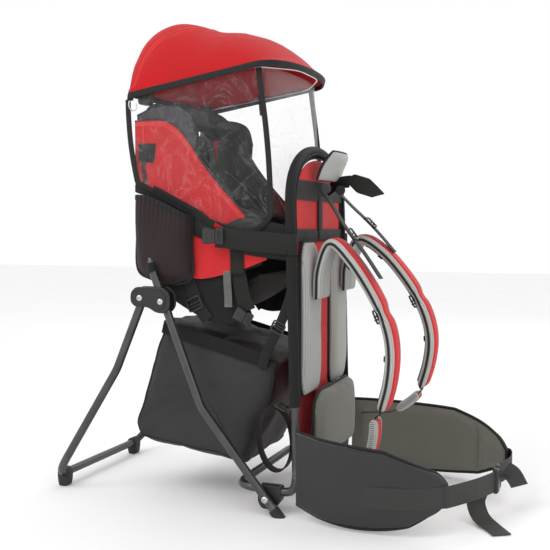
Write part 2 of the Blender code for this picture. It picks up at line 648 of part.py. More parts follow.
def canopy_point(u, v, shrink):
    """u runs from the rear edge to the visor, v from one side to the other; shrink makes the inner face."""
    place = u * (len(RIDGE) - 1)
    index = min(int(place), len(RIDGE) - 2)
    (xa, za), (xb, zb) = RIDGE[index], RIDGE[index + 1]
    ridge_x, ridge_z = xa + (xb - xa) * (place - index), za + (zb - za) * (place - index)
    middle = (-0.16, 0.80)
    ridge_x += shrink * (1 if ridge_x < middle[0] else -1) * min(1, abs(ridge_x - middle[0]) / 0.1)
    ridge_z -= shrink * min(1, max(0, ridge_z - middle[1]) / 0.06)
    rim = u**1.4
    rim_x = RIM_REAR[0] + (RIM_FRONT[0] - RIM_REAR[0]) * rim
    rim_z = RIM_REAR[1] + (RIM_FRONT[1] - RIM_REAR[1]) * rim
    rise = max(0.0, math.cos(v * math.pi / 2)) ** 0.85
    half = CANOPY_Y - shrink
    y = half * math.sin(v * math.pi / 2)
    return Vector((rim_x + (ridge_x - rim_x) * rise, y, rim_z + (ridge_z - rim_z) * rise))


def make_canopy():
    rows, columns = 14, 14
    points, faces = [], []
    for shrink in (0.0, 0.0035):
        for i in range(rows + 1):
            for j in range(columns + 1):
                points.append(canopy_point(i / rows, 2 * j / columns - 1, shrink))
    width = columns + 1
    layer = (rows + 1) * width
    for i in range(rows):
        for j in range(columns):
            a = i * width + j
            faces.append((a, a + 1, a + width + 1, a + width))
            faces.append((a + layer, a + layer + width, a + layer + width + 1, a + layer + 1))
    edge = [j for j in range(columns)] + [i * width + columns for i in range(rows)]
    edge += [rows * width + j for j in range(columns, 0, -1)] + [i * width for i in range(rows, 0, -1)]
    for a, b in zip(edge, edge[1:] + edge[:1]):
        faces.append((a, b, b + layer, a + layer))
    add_mesh("canopy", points, faces, RED, origin=(CANOPY_PIVOT[0], 0, CANOPY_PIVOT[1]))


def make_canopy_hoop():
    """Spring wire along the canopy's rim; its two ends turn inwards and are the pivots."""
    near = [(CANOPY_PIVOT[0], -0.124, CANOPY_PIVOT[1]), (CANOPY_PIVOT[0], -HOOP_Y, CANOPY_PIVOT[1])]
    near += [(-0.058, -HOOP_Y, 0.8215)]
    corners = near + [(-0.004, -0.060, 0.8265), (-0.004, 0.060, 0.8265)]
    corners += [(x, -y, z) for x, y, z in reversed(near)]
    path = filleted(corners, (0.006, 0.05, 0.10, 0.10, 0.05, 0.006), 3)
    tube("canopy_hoop", path, 0.002, STEEL, sides=8, origin=(CANOPY_PIVOT[0], 0, CANOPY_PIVOT[1]))


def make_rain_shield():
    """A clear skirt that hangs from the canopy's rim on both sides and in front."""
    thick = 0.0012
    corner_top, corner_low = (-0.050, 0.817), (-0.022, 0.514)
    plan = []
    for k in range(9):
        t = k / 8
        hem = 0.612 - 0.098 * math.sin(t * math.pi / 2) ** 1.2
        plan.append((-0.322 + 0.300 * t, -0.322 + 0.272 * t, -SHIELD_Y, hem, 0.772 + 0.045 * t))
    for k in range(1, 6):
        t = k / 6
        bow = math.sin(math.pi * t)
        y = -SHIELD_Y * math.cos(math.pi * t)
        low, top = corner_low[0] - 0.012 * bow, corner_top[0] + 0.030 * bow
        plan.append((low, top, y, corner_low[1], corner_top[1] + 0.002 * bow))
    plan += [(low, top, -y, hem, edge) for low, top, y, hem, edge in reversed(plan[:9])]
    rings = []
    middles = [Vector((low, y, 0)) for low, _, y, _, _ in plan]
    for (low, top, y, hem, edge), tangent in zip(plan, directions(middles)):
        out = Vector((tangent.y, -tangent.x, 0)) * thick
        a, b = Vector((low, y, hem)), Vector((top, y, edge))
        rings.append([a, a + out, b + out, b])
    loft("rain_shield", rings, CLEAR)


# ---- assembly ----------------------------------------------------------------------------------
make_back_frame()
make_back_panel()
make_headrest_pad()
make_back_pads()
make_shoulder_straps()
make_load_lifters()
make_hip_belt()
make_rear_frame()
make_kickstand()
make_seat()
make_collar()
make_harness()
make_bag()
make_canopy()
make_canopy_hoop()
make_rain_shield()

pieces = [obj for obj in bpy.context.scene.collection.objects if not obj.hide_render]
lengths = [obj.location.x + vertex.co.x for obj in pieces for vertex in obj.data.vertices]
carrier = bpy.data.objects.new("carrier_origin", None)
bpy.context.scene.collection.objects.link(carrier)
carrier.location.x = -(min(lengths) + max(lengths)) / 2
for obj in bpy.data.objects:
    if obj is not carrier:
        obj.parent = carrier
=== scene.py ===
"""Looks of the baby carrier backpack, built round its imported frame.

Metres, +Z up. X is written from the front feet, as in the model, and OX moves it into the frame
that is loaded.
"near" is the -Y side, "far" the +Y side. +X is the way the wearer walks, and the child sits on the -X side.
"""

import math

import bmesh
import bpy
import numpy as np
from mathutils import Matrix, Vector, noise
from mathutils.bvhtree import BVHTree


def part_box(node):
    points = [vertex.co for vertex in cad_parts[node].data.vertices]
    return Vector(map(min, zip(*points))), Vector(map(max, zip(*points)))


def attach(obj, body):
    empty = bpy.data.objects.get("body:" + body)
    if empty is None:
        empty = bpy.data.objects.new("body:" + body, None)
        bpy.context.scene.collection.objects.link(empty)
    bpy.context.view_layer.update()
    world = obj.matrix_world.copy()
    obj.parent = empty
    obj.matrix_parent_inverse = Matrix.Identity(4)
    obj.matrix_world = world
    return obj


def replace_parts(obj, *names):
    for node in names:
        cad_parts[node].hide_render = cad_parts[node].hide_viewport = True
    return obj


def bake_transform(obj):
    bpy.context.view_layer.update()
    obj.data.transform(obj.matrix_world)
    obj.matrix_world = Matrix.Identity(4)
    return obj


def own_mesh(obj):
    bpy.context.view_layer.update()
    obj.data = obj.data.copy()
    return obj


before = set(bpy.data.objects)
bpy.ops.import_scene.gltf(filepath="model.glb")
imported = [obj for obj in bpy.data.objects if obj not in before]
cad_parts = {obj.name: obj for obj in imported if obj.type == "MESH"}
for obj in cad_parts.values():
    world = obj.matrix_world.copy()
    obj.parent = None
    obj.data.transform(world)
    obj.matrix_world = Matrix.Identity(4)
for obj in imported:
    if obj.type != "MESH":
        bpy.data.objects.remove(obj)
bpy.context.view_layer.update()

RIVET_X = -0.025
rivet_low, rivet_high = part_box("strut_rivet_near")
OX = (rivet_low.x + rivet_high.x) / 2 - RIVET_X

TUBE_R = 0.008
BACK_Y = 0.158
STRUT_Y = 0.178
UPPER_Y = 0.133
SHIELD_Y = 0.1502
CANOPY_Y = 0.161
RIVET = (-0.025, 0.0306)
LEG_PIVOT = (-0.277, 0.394)
FRAME_SCREW = (-0.233, 0.388)
CANOPY_PIVOT = (-0.300, 0.788)
WEB_25, WEB_38 = 0.0125, 0.0190  # half the widths of the webbing
SIDES = (("near", -1), ("far", 1))
BACK, REAR, STAND, HOOD, MALE = "back_frame", "rear_frame", "kickstand", "canopy", "hip_buckle_male"


# ---- node materials ----------------------------------------------------------------------------
def node(tree, kind, inputs=(), out=0, **props):
    """Adds a shader node, sets or links its inputs by place or name, and returns one output."""
    made = tree.nodes.new("ShaderNode" + kind)
    for key, value in props.items():
        setattr(made, key, value)
    for key, value in inputs.items() if isinstance(inputs, dict) else enumerate(inputs):
        if isinstance(value, bpy.types.NodeSocket):
            tree.links.new(value, made.inputs[key])
        elif value is not None:
            made.inputs[key].default_value = value
    return made.outputs[out]


def calc(tree, operation, *values):
    return node(tree, "Math", values, operation=operation)


def shader_of(name, colour, roughness, metallic=0.0, **sockets):
    mat = bpy.data.materials.new(name)
    mat.use_nodes = True
    shader = mat.node_tree.nodes["Principled BSDF"]
    shader.inputs["Base Color"].default_value = (*colour, 1.0)
    shader.inputs["Roughness"].default_value = roughness
    shader.inputs["Metallic"].default_value = metallic
    for key, value in sockets.items():
        shader.inputs[key.replace("_", " ")].default_value = value
    return mat, mat.node_tree, shader


def strip_uv(tree):
    """Across and along the cloth in metres, which the pieces carry as an attribute."""
    strip = node(tree, "Attribute", out=1, attribute_name="strip")
    split = tree.nodes.new("ShaderNodeSeparateXYZ")
    tree.links.new(strip, split.inputs[0])
    return split.outputs[0], split.outputs[1]


def waves(tree, value, pitch, shift=0.0):
    turned = calc(tree, "MULTIPLY_ADD", value, math.pi / pitch, shift)
    return calc(tree, "SINE", turned)


def plain_weave(tree, pitch):
    u, v = strip_uv(tree)
    a, b = waves(tree, u, pitch), waves(tree, v, pitch)
    over = calc(tree, "GREATER_THAN", calc(tree, "MULTIPLY", a, b), 0.0)
    a, b = calc(tree, "ABSOLUTE", a), calc(tree, "ABSOLUTE", b)
    return calc(tree, "MULTIPLY_ADD", over, calc(tree, "SUBTRACT", a, b), b)


def honeycomb(tree, pitch):
    """Rows of round holes set in a hexagonal net: 0 in a hole, 1 on a thread."""
    u, v = strip_uv(tree)
    k = 2 * math.pi / pitch
    total = calc(tree, "COSINE", calc(tree, "MULTIPLY", u, k))
    for sign in (1, -1):
        slanted = calc(tree, "MULTIPLY_ADD", v, sign * k * 0.866, calc(tree, "MULTIPLY", u, -k / 2))
        total = calc(tree, "ADD", total, calc(tree, "COSINE", slanted))
    return node(tree, "MapRange", (total, 1.9, 0.1, 0.0, 1.0))


def webbing_ribs(tree, pitch):
    u, v = strip_uv(tree)
    rib = calc(tree, "ABSOLUTE", waves(tree, u, pitch))
    zigzag = calc(tree, "MULTIPLY", calc(tree, "ABSOLUTE", waves(tree, u, pitch * 2)), 2.2)
    pick = calc(
        tree, "ABSOLUTE", calc(tree, "SINE", calc(tree, "MULTIPLY_ADD", v, math.pi / (pitch * 0.7), zigzag))
    )
    return calc(tree, "MULTIPLY_ADD", rib, 0.65, calc(tree, "MULTIPLY", pick, 0.35))


def twill(tree, pitch):
    u, v = strip_uv(tree)
    slant = calc(tree, "ABSOLUTE", waves(tree, calc(tree, "ADD", u, v), pitch))
    return calc(
        tree, "MULTIPLY_ADD", slant, 0.7,
        calc(tree, "MULTIPLY", calc(tree, "ABSOLUTE", waves(tree, v, pitch)), 0.3)
    )


def cloth(name, dark, light, pattern, pitch, roughness, depth=0.0003, tone=0.45, sheen=0.04, blotch=7.0):
    """A woven or knitted fabric: its threads lift it and are painted darker in the gaps and holes between
    them, as painted shade, and it is a little uneven and worn all over.
    """
    mat, tree, shader = shader_of(
        name, light, roughness, Sheen_Weight=sheen, Sheen_Roughness=0.5, Specular_IOR_Level=0.22
    )
    place = node(tree, "TexCoord", out=3)
    threads = pattern(tree, pitch)
    soft = node(tree, "TexNoise", {"Vector": place, "Scale": blotch, "Detail": 5.0, "Roughness": 0.6})
    fuzz = node(tree, "TexNoise", {"Vector": place, "Scale": 900.0, "Detail": 2.0})
    # painted shade: the thread pattern darkens the colour in the gaps and holes between threads; the blotch
    # and fuzz noise is uneven tone
    worn = calc(tree, "MULTIPLY_ADD", soft, 1.0 - tone, calc(tree, "MULTIPLY", threads, tone))
    worn = calc(tree, "MULTIPLY_ADD", calc(tree, "SUBTRACT", fuzz, 0.5), 0.25, worn)
    mixed = node(tree, "MixRGB", (worn, (*dark, 1), (*light, 1)), use_clamp=True)
    tree.links.new(mixed, shader.inputs["Base Color"])
    matt = node(tree, "MapRange", (soft, 0.3, 0.7, roughness - 0.08, roughness + 0.1))
    tree.links.new(matt, shader.inputs["Roughness"])
    relief = calc(tree, "MULTIPLY_ADD", fuzz, 0.3, threads)
    bump = node(tree, "Bump", {"Strength": 0.6, "Distance": depth, "Height": relief})
    tree.links.new(bump, shader.inputs["Normal"])
    return mat


def moulded(name, colour, roughness, grain=1500.0, metallic=0.0, depth=0.0001, worn=None, **sockets):
    """Plastic, rubber or coated metal: fine grain, cloudy gloss, and edges rubbed a little lighter."""
    mat, tree, shader = shader_of(name, colour, roughness, metallic, **sockets)
    place = node(tree, "TexCoord", out=3)
    fine = node(tree, "TexNoise", {"Vector": place, "Scale": grain, "Detail": 3.0})
    cloud = node(tree, "TexNoise", {"Vector": place, "Scale": 22.0, "Detail": 6.0, "Roughness": 0.65})
    edge = node(tree, "MapRange", (node(tree, "NewGeometry", out=7), 0.51, 0.60, 0.0, 0.7))
    rubbed = calc(tree, "MULTIPLY", edge, cloud)
    mixed = node(tree, "MixRGB", (rubbed, (*colour, 1), (*(worn or [c * 2.5 + 0.02 for c in colour]), 1)))
    shade = node(tree, "MapRange", (cloud, 0.3, 0.7, 0.82, 1.12))
    tinted = node(tree, "MixRGB", (1.0, mixed, shade), blend_type="MULTIPLY")
    tree.links.new(tinted, shader.inputs["Base Color"])
    gloss = node(tree, "MapRange", (cloud, 0.3, 0.7, roughness - 0.09, roughness + 0.1))
    tree.links.new(gloss, shader.inputs["Roughness"])
    bump = node(tree, "Bump", {"Strength": 0.5, "Distance": depth, "Height": fine})
    tree.links.new(bump, shader.inputs["Normal"])
    return mat


def clear_film(name):
    """Clear vinyl: nearly unseen face on, whiter at a glance, and with painted highlights along its creases.
    """
    mat, tree, shader = shader_of(name, (0.93, 0.95, 0.97), 0.12, Specular_IOR_Level=0.7)
    place = node(tree, "TexCoord", out=3)
    bent = node(tree, "TexNoise", {"Vector": place, "Scale": 9.0, "Detail": 3.0})
    crease = node(
        tree, "TexNoise",
        {"Vector": place, "Scale": 14.0, "Detail": 8.0, "Roughness": 0.7, "Distortion": 1.2}
    )
    thin = calc(tree, "ABSOLUTE", calc(tree, "SUBTRACT", crease, 0.5))
    # painted highlight: thin white lines along the creases stand in for light glinting off the crinkled film
    crease_highlight = node(tree, "MapRange", (thin, 0.0, 0.010, 0.07, 0.0))
    haze = node(tree, "MapRange", (bent, 0.35, 0.75, 0.004, 0.014))
    glance = calc(tree, "MULTIPLY", node(tree, "LayerWeight", (0.12,), out=1), 0.35)
    alpha = calc(tree, "ADD", calc(tree, "ADD", crease_highlight, haze), glance)
    tree.links.new(calc(tree, "MINIMUM", alpha, 0.85), shader.inputs["Alpha"])
    bump = node(tree, "Bump", {"Strength": 0.25, "Distance": 0.003, "Height": crease})
    tree.links.new(bump, shader.inputs["Normal"])
    return mat


RED = cloth(
    "red_polyester", (0.34, 0.0015, 0.003), (0.64, 0.006, 0.010), plain_weave, 0.0009, 0.62, tone=0.35
)
CORAL = cloth(
    "coral_polyester", (0.46, 0.012, 0.014), (0.72, 0.030, 0.034), plain_weave, 0.0009, 0.6, tone=0.35
)
CHARCOAL = cloth("charcoal_nylon", (0.018, 0.018, 0.019), (0.046, 0.046, 0.048), twill, 0.0008, 0.5, tone=0.3)
COLLAR = cloth("collar_fabric", (0.030, 0.027, 0.031), (0.062, 0.056, 0.064), plain_weave, 0.0008, 0.7)
BLACK = cloth("black_polyester", (0.004, 0.004, 0.004), (0.015, 0.015, 0.0145), plain_weave, 0.0010, 0.68)
LINING = cloth("padded_lining", (0.005, 0.0055, 0.005), (0.020, 0.0215, 0.0195), twill, 0.0011, 0.55)
GREY_MESH = cloth(
    "grey_air_mesh", (0.13, 0.13, 0.12), (0.50, 0.50, 0.475), honeycomb, 0.0034, 0.8, 0.0010, 0.75, 0.3
)
OLIVE_MESH = cloth(
    "olive_air_mesh", (0.055, 0.053, 0.042), (0.21, 0.205, 0.172), honeycomb, 0.0028, 0.8, 0.0008, 0.7, 0.3
)
# painted shade: the holes take a dim red, the red side panel behind the mesh darkened as if in the pocket's
# shade; the threads are black
POCKET_MESH = cloth(
    "pocket_mesh", (0.050, 0.010, 0.012), (0.018, 0.018, 0.018), honeycomb, 0.0036, 0.7, 0.0008, 0.85
)
WEBBING = cloth(
    "black_webbing", (0.004, 0.004, 0.004), (0.019, 0.019, 0.0175), webbing_ribs, 0.0021, 0.62, 0.0006, 0.6
)
BINDING = cloth(
    "binding_tape", (0.006, 0.006, 0.0065), (0.024, 0.0235, 0.024), webbing_ribs, 0.0012, 0.66, 0.0003, 0.6
)
THREAD_RED = moulded("red_thread", (0.80, 0.10, 0.10), 0.6)
THREAD_GREY = moulded("grey_thread", (0.11, 0.11, 0.11), 0.7)
TUBE = moulded("gunmetal_tube", (0.078, 0.078, 0.082), 0.36, 2600.0, 0.85, 0.00004, (0.34, 0.34, 0.35))
PLASTIC = moulded("black_plastic", (0.009, 0.009, 0.0095), 0.40)
GREY_PLASTIC = moulded("grey_plastic", (0.075, 0.080, 0.075), 0.36)
RUBBER = moulded("black_rubber", (0.012, 0.012, 0.012), 0.72, 900.0, depth=0.0002)
STEEL = moulded("steel", (0.55, 0.55, 0.56), 0.25, 3000.0, 1.0, 0.00003, (0.8, 0.8, 0.8))
FILM = clear_film("clear_vinyl")


# ---- mesh building -----------------------------------------------------------------------------
def piece(name, points, faces, mats, body, slot, strips=None, levels=0, sharp=0.7, which=None):
    """A mesh object that rides on a body. strips holds the cloth coordinates, which each face's
    material number.
    """
    mats = mats if isinstance(mats, (list, tuple)) else (mats,)
    mesh = bpy.data.meshes.new(name)
    mesh.from_pydata([(p[0] + OX, p[1], p[2]) for p in points], [], faces)
    for mat in mats:
        mesh.materials.append(mat)
    if which:
        mesh.polygons.foreach_set("material_index", which)
    strip = mesh.attributes.new("strip", "FLOAT_VECTOR", "POINT")
    flat = strips if strips else [(p[0] + p[1], p[2], 0) for p in points]
    strip.data.foreach_set("vector", [c for s in flat for c in s])
    work = bmesh.new()
    work.from_mesh(mesh)
    bmesh.ops.recalc_face_normals(work, faces=work.faces)
    work.to_mesh(mesh)
    work.free()
    mesh.shade_smooth()
    mesh.set_sharp_from_angle(angle=sharp)
    obj = bpy.data.objects.new(name, mesh)
    bpy.context.scene.collection.objects.link(obj)
    if levels:
        smooth = obj.modifiers.new("smooth", "SUBSURF")
        smooth.levels = smooth.render_levels = levels
    if body:
        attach(obj, body)
    return obj


def curved(points, steps=4):
    """A Catmull-Rom curve through the points."""
    p = [Vector(q) for q in points]
    p = [2 * p[0] - p[1], *p, 2 * p[-1] - p[-2]]
    out = []
    for i in range(1, len(p) - 2):
        a, b, c, d = p[i - 1 : i + 3]
        for k in range(steps):
            t = k / steps
            out.append(
                0.5
                * (
                    2 * b + (c - a) * t + (2 * a - 5 * b + 4 * c - d) * t**2
                    + (3 * b - 3 * c + d - a) * t**3
                )
            )
    return out + [p[-2]]


def filleted(corners, radii, steps=8):
    """A polyline through the corners with each inner corner rounded to its radius."""
    corners = [Vector(c) for c in corners]
    points = [corners[0]]
    for i in range(1, len(corners) - 1):
        before, after = (corners[i - 1] - corners[i]).normalized(), (corners[i + 1] - corners[i]).normalized()
        reach = radii[i - 1] / math.tan(before.angle(after) / 2)
        for k in range(steps + 1):
            t = k / steps
            start, end = corners[i] + before * reach, corners[i] + after * reach
            points.append(start.lerp(corners[i], t).lerp(corners[i].lerp(end, t), t))
    return points + [corners[-1]]


def evened(path, gap):
    """The same path with its points about this far apart."""
    path = [Vector(p) for p in path]
    lengths = [0.0]
    for a, b in zip(path, path[1:]):
        lengths.append(lengths[-1] + (b - a).length)
    count = max(2, round(lengths[-1] / gap))
    out, k = [], 0
    for i in range(count + 1):
        want = lengths[-1] * i / count
        while k < len(path) - 2 and lengths[k + 1] < want:
            k += 1
        span = max(lengths[k + 1] - lengths[k], 1e-9)
        out.append(path[k].lerp(path[k + 1], (want - lengths[k]) / span))
    return out


def directions(path, loop=False):
    last = len(path) - 1
    if loop:
        return [(path[(i + 1) % len(path)] - path[i - 1]).normalized() for i in range(len(path))]
    return [(path[min(i + 1, last)] - path[max(i - 1, 0)]).normalized() for i in range(last + 1)]


def around(count):
    """Angles evenly spread over one turn."""
    return [2 * math.pi * k / count for k in range(count)]


def chamfered(corner):
    """An oblong section with cut corners, 1 wide and 1 thick each way."""
    return (
        (-1, -0.5), (-corner, -1), (corner, -1), (1, -0.5), (1, 0.5), (corner, 1), (-corner, 1), (-1, 0.5)
    )


def rings_to_mesh(rings, loop):
    n = len(rings[0])
    faces = []
    for i in range(len(rings) if loop else len(rings) - 1):
        a, b = i * n, (i + 1) % len(rings) * n
        faces += [(a + j, a + (j + 1) % n, b + (j + 1) % n, b + j) for j in range(n)]
    if not loop:
        faces += [tuple(reversed(range(n))), tuple(range(len(rings) * n - n, len(rings) * n))]
    return [p for ring in rings for p in ring], faces


def sweep(name, path, across, profile, mats, body, slot, loop=False, **kwargs):
    """Carries a profile of (across, outward) corners along the path; profile may be a function of the
    place, 0 to 1.
    """
    path = [Vector(p) for p in path]
    rings, strips, run = [], [], 0.0
    for i, (point, tangent) in enumerate(zip(path, directions(path, loop))):
        wide = Vector(across[i] if isinstance(across, list) else across)
        wide = (wide - tangent * wide.dot(tangent)).normalized()
        out = wide.cross(tangent)
        corners = profile(i / (len(path) - 1)) if callable(profile) else profile
        rings.append([point + wide * a + out * b for a, b in corners])
        run += (point - path[i - 1]).length if i else 0.0
        strips += [(a, run, b) for a, b in corners]
    points, faces = rings_to_mesh(rings, loop)
    return piece(name, points, faces, mats, body, slot, strips, **kwargs)


def round_bar(name, path, radius, mats, body, slot, sides=20, loop=False, **kwargs):
    """A round bar whose section is carried along without twist; radius may be a function of the place,
    0 to 1.
    """
    path = [Vector(p) for p in path]
    tangents = directions(path, loop)
    side = tangents[0].orthogonal().normalized()
    rings, strips, run = [], [], 0.0
    for i, (point, tangent) in enumerate(zip(path, tangents)):
        side = (side - tangent * side.dot(tangent)).normalized()
        up = tangent.cross(side)
        r = radius(i / (len(path) - 1)) if callable(radius) else radius
        run += (point - path[i - 1]).length if i else 0.0
        strips += [(r * math.sin(a), run, r * math.cos(a)) for a in around(sides)]
        rings.append([point + r * (side * math.cos(a) + up * math.sin(a)) for a in around(sides)])
    points, faces = rings_to_mesh(rings, loop)
    return piece(name, points, faces, mats, body, slot, strips, **kwargs)


def band(half_w, half_t, corner=0.35):
    """Profile of a flat band with softened edges."""
    e = min(half_t * 1.2, half_w * 0.3)
    c = half_t * corner
    return [
        (-half_w, -c), (-half_w + e, -half_t), (half_w - e, -half_t), (half_w, -c), (half_w, c),
        (half_w - e, half_t), (-half_w + e, half_t), (-half_w, c)
    ]


def piping(name, path, radius, body, slot="black_fabric", gap=0.005, sides=8, loop=False):
    """Binding tape rolled over a cord. A loop's last point isn't its first one again."""
    path = evened(path + path[:1], gap)[:-1] if loop else evened(path, gap)
    return round_bar(name, path, radius, BINDING, body, slot, sides=sides, loop=loop)


def strap(
    name, path, across, half_w, body, half_t=0.0009, mat=None, slot="black_webbing", gap=0.006, **kwargs
):
    """Webbing along a smooth path."""
    path = evened(curved(path, 6), gap)
    if isinstance(across, list):
        last = len(across) - 1
        turned = []
        for i in range(len(path)):
            t = i / (len(path) - 1) * last
            k = min(int(t), last - 1)
            turned.append(Vector(across[k]).lerp(Vector(across[k + 1]), t - k))
        across = turned
    return sweep(name, path, across, band(half_w, half_t), mat or WEBBING, body, slot, **kwargs)


def slab(name, surface, rows, columns, half, mats, body, slot, which=None, **kwargs):
    """A closed sheet or pad. surface(s, t) is its middle, s from -1 to 1 and t from 0 to 1; half(s, t)
    half its thickness.
    """
    spots = [
        [Vector(surface(2 * j / columns - 1, i / rows)) for j in range(columns + 1)]
        for i in range(rows + 1)
    ]
    front, back, strips_a, strips_b = [], [], [], []
    middle = columns // 2
    run = 0.0
    for i, row in enumerate(spots):
        run += (row[middle] - spots[i - 1][middle]).length if i else 0.0
        across = [0.0]
        for a, b in zip(row, row[1:]):
            across.append(across[-1] + (b - a).length)
        for j, p in enumerate(row):
            du = row[min(j + 1, columns)] - row[max(j - 1, 0)]
            dv = spots[min(i + 1, rows)][j] - spots[max(i - 1, 0)][j]
            normal = du.cross(dv).normalized()
            t = half(2 * j / columns - 1, i / rows) if callable(half) else half
            front.append(p + normal * t)
            back.append(p - normal * t)
            strips_a.append((across[j] - across[middle], run, t))
            strips_b.append((across[j] - across[middle], run, -t))
    width, layer = columns + 1, (columns + 1) * (rows + 1)
    faces, places = [], []
    for i in range(rows):
        for j in range(columns):
            a = i * width + j
            faces += [
                (a, a + 1, a + width + 1, a + width),
                (a + layer, a + layer + width, a + layer + width + 1, a + layer + 1)
            ]
            places += [0, 1] if not which else which(2 * (j + 0.5) / columns - 1, (i + 0.5) / rows)
    edge = list(range(columns)) + [i * width + columns for i in range(rows)]
    edge += [rows * width + j for j in range(columns, 0, -1)] + [i * width for i in range(rows, 0, -1)]
    for a, b in zip(edge, edge[1:] + edge[:1]):
        faces.append((a, b, b + layer, a + layer))
        places.append(0)
    several = isinstance(mats, (list, tuple))
    return piece(
        name, front + back, faces, mats, body, slot, strips_a + strips_b, which=places if several else None,
        **kwargs
    )


def pillow(thick, across=4.0, along=4.0, least=0.18):
    """Half-thickness of a crowned pad that thins towards its edges."""

    def half(s, t):
        crown = (1 - abs(s) ** across) * (1 - abs(2 * t - 1) ** along)
        return thick * (least + (1 - least) * max(0.0, crown) ** 0.5)

    return half


def inflate(obj, cap, pressure=4.0, frames=16, stiff=12.0):
    """Lets the closed cloth swell under pressure, moves no point further than cap, and leaves no
    simulation on it.
    """
    rest = np.empty(len(obj.data.vertices) * 3, np.float32)
    obj.data.vertices.foreach_get("co", rest)
    sim = obj.modifiers.new("swell", "CLOTH")
    settings = sim.settings
    settings.quality = 4
    settings.mass = 0.3
    settings.tension_stiffness = settings.compression_stiffness = stiff
    settings.bending_stiffness = 0.4
    settings.use_pressure = True
    settings.uniform_pressure_force = pressure
    settings.effector_weights.gravity = 0.0
    sim.point_cache.frame_start, sim.point_cache.frame_end = 1, frames
    others = [m for m in obj.modifiers if m.type != "CLOTH"]
    for other in others:
        other.show_viewport = False
    for number in range(1, frames + 1):
        bpy.context.scene.frame_set(number)
    shaped = obj.evaluated_get(bpy.context.evaluated_depsgraph_get()).data
    moved = np.empty_like(rest)
    shaped.vertices.foreach_get("co", moved)
    obj.modifiers.remove(sim)
    for other in others:
        other.show_viewport = True
    step = (moved - rest).reshape(-1, 3)
    length = np.linalg.norm(step, axis=1, keepdims=True)
    step *= np.minimum(1.0, cap / np.maximum(length, 1e-9))
    obj.data.vertices.foreach_set("co", (rest.reshape(-1, 3) + step).ravel())
    obj.data.update()
    bpy.context.scene.frame_set(1)
    return obj


def wobble(p, scale, seed=0.0, octaves=3):
    return noise.fractal(Vector(p) * scale + Vector((seed, seed * 1.7, -seed)), 0.8, 2.1, octaves)


def stitches(name, lines, mat, body, slot, pitch=0.0042, length=0.0028, radius=0.00045):
    """Rows of thread: each line is a list of (point, outward direction)."""
    points, faces = [], []
    for line in lines:
        path = evened([p for p, _ in line], pitch)
        spots = [Vector(p) for p, _ in line]
        outs = [Vector(o) for _, o in line]
        for point, tangent in zip(path, directions(path)):
            nearest = min(range(len(spots)), key=lambda k: (spots[k] - point).length_squared)
            out = (outs[nearest] - tangent * outs[nearest].dot(tangent)).normalized()
            side = out.cross(tangent) * radius
            start = len(points)
            for along, scale in ((-0.5, 0.4), (-0.2, 1.0), (0.2, 1.0), (0.5, 0.4)):
                middle = point + tangent * along * length
                points += [
                    middle + side * scale, middle + out * radius * scale * 1.2, middle - side * scale,
                    middle - out * radius * 0.8
                ]
            faces += [tuple(start + k for k in (3, 2, 1, 0)), tuple(start + k for k in (12, 13, 14, 15))]
            for ring in range(3):
                a = start + ring * 4
                faces += [(a + k, a + (k + 1) % 4, a + 4 + (k + 1) % 4, a + 4 + k) for k in range(4)]
    return piece(name, points, faces, mat, body, slot)


# ---- frame tubes, brackets and feet ------------------------------------------------------------
def leg_x(z):
    """The back frame leans a little towards the child as it rises."""
    return 0.027 - (z - 0.075) * 0.026


def arch_path():
    """The back frame's tube up the near side, over the top and down the far side."""
    near = [Vector((leg_x(z), -BACK_Y, z)) for z in (0.0762, 0.20, 0.33, 0.46)]
    path = near[:]
    for k in range(33):
        a = math.pi * k / 32
        z = 0.560 + 0.116 * math.sin(a) ** 0.8
        path.append(Vector((leg_x(z), -BACK_Y * math.cos(a), z)))
    return path + [Vector((p.x, -p.y, p.z)) for p in reversed(near)]


def mirrored(near):
    return near + [(x, -y, z) for x, y, z in reversed(near)]


def strut_along():
    return Vector((-0.156, 0, 0.191)).normalized()


def rear_path():
    start = strut_along() * 0.0163
    near = [
        (start.x, -STRUT_Y, start.z), (-0.156, -STRUT_Y, 0.191), (FRAME_SCREW[0], -STRUT_Y, FRAME_SCREW[1])
    ]
    near += [(-0.258, -STRUT_Y, 0.450), (-0.286, -UPPER_Y, 0.555), (-0.292, -UPPER_Y, 0.765)]
    radii = (0.06, 0.08, 0.04, 0.04, 0.05)
    return filleted(mirrored(near), radii + tuple(reversed(radii)))


def stand_path():
    near = [(-0.2721, -STRUT_Y, 0.4027), (-0.336, -STRUT_Y, 0.252), (-0.482, -STRUT_Y + 0.006, 0.026)]
    return filleted(mirrored(near), (0.10, 0.045, 0.045, 0.10))


def loop_path():
    near = [(leg_x(0.075), -BACK_Y, 0.075), (0.024, -BACK_Y, 0.040), (-0.092, -BACK_Y, 0.046)]
    return filleted(mirrored(near), (0.022, 0.04, 0.04, 0.022))


def extrude(name, outline, low, high, mats, body, slot, bevel=0.0012, axis="Y", segments=3):
    """A block with this outline, in (x, z), or in (y, z) if axis is "X", between low and high, with
    rounded edges.
    """

    def put(a, b, c):
        return (a, c, b) if axis == "Y" else (c, a, b)

    n = len(outline)
    points = [put(a, b, low) for a, b in outline] + [put(a, b, high) for a, b in outline]
    faces = [tuple(range(n)), tuple(range(2 * n - 1, n - 1, -1))]
    faces += [(i, (i + 1) % n, (i + 1) % n + n, i + n) for i in range(n)]
    obj = piece(name, points, faces, mats, body, slot, sharp=0.6)
    edge = obj.modifiers.new("edge", "BEVEL")
    edge.width, edge.segments = bevel, segments
    edge.limit_method, edge.angle_limit = "ANGLE", 0.5
    return obj


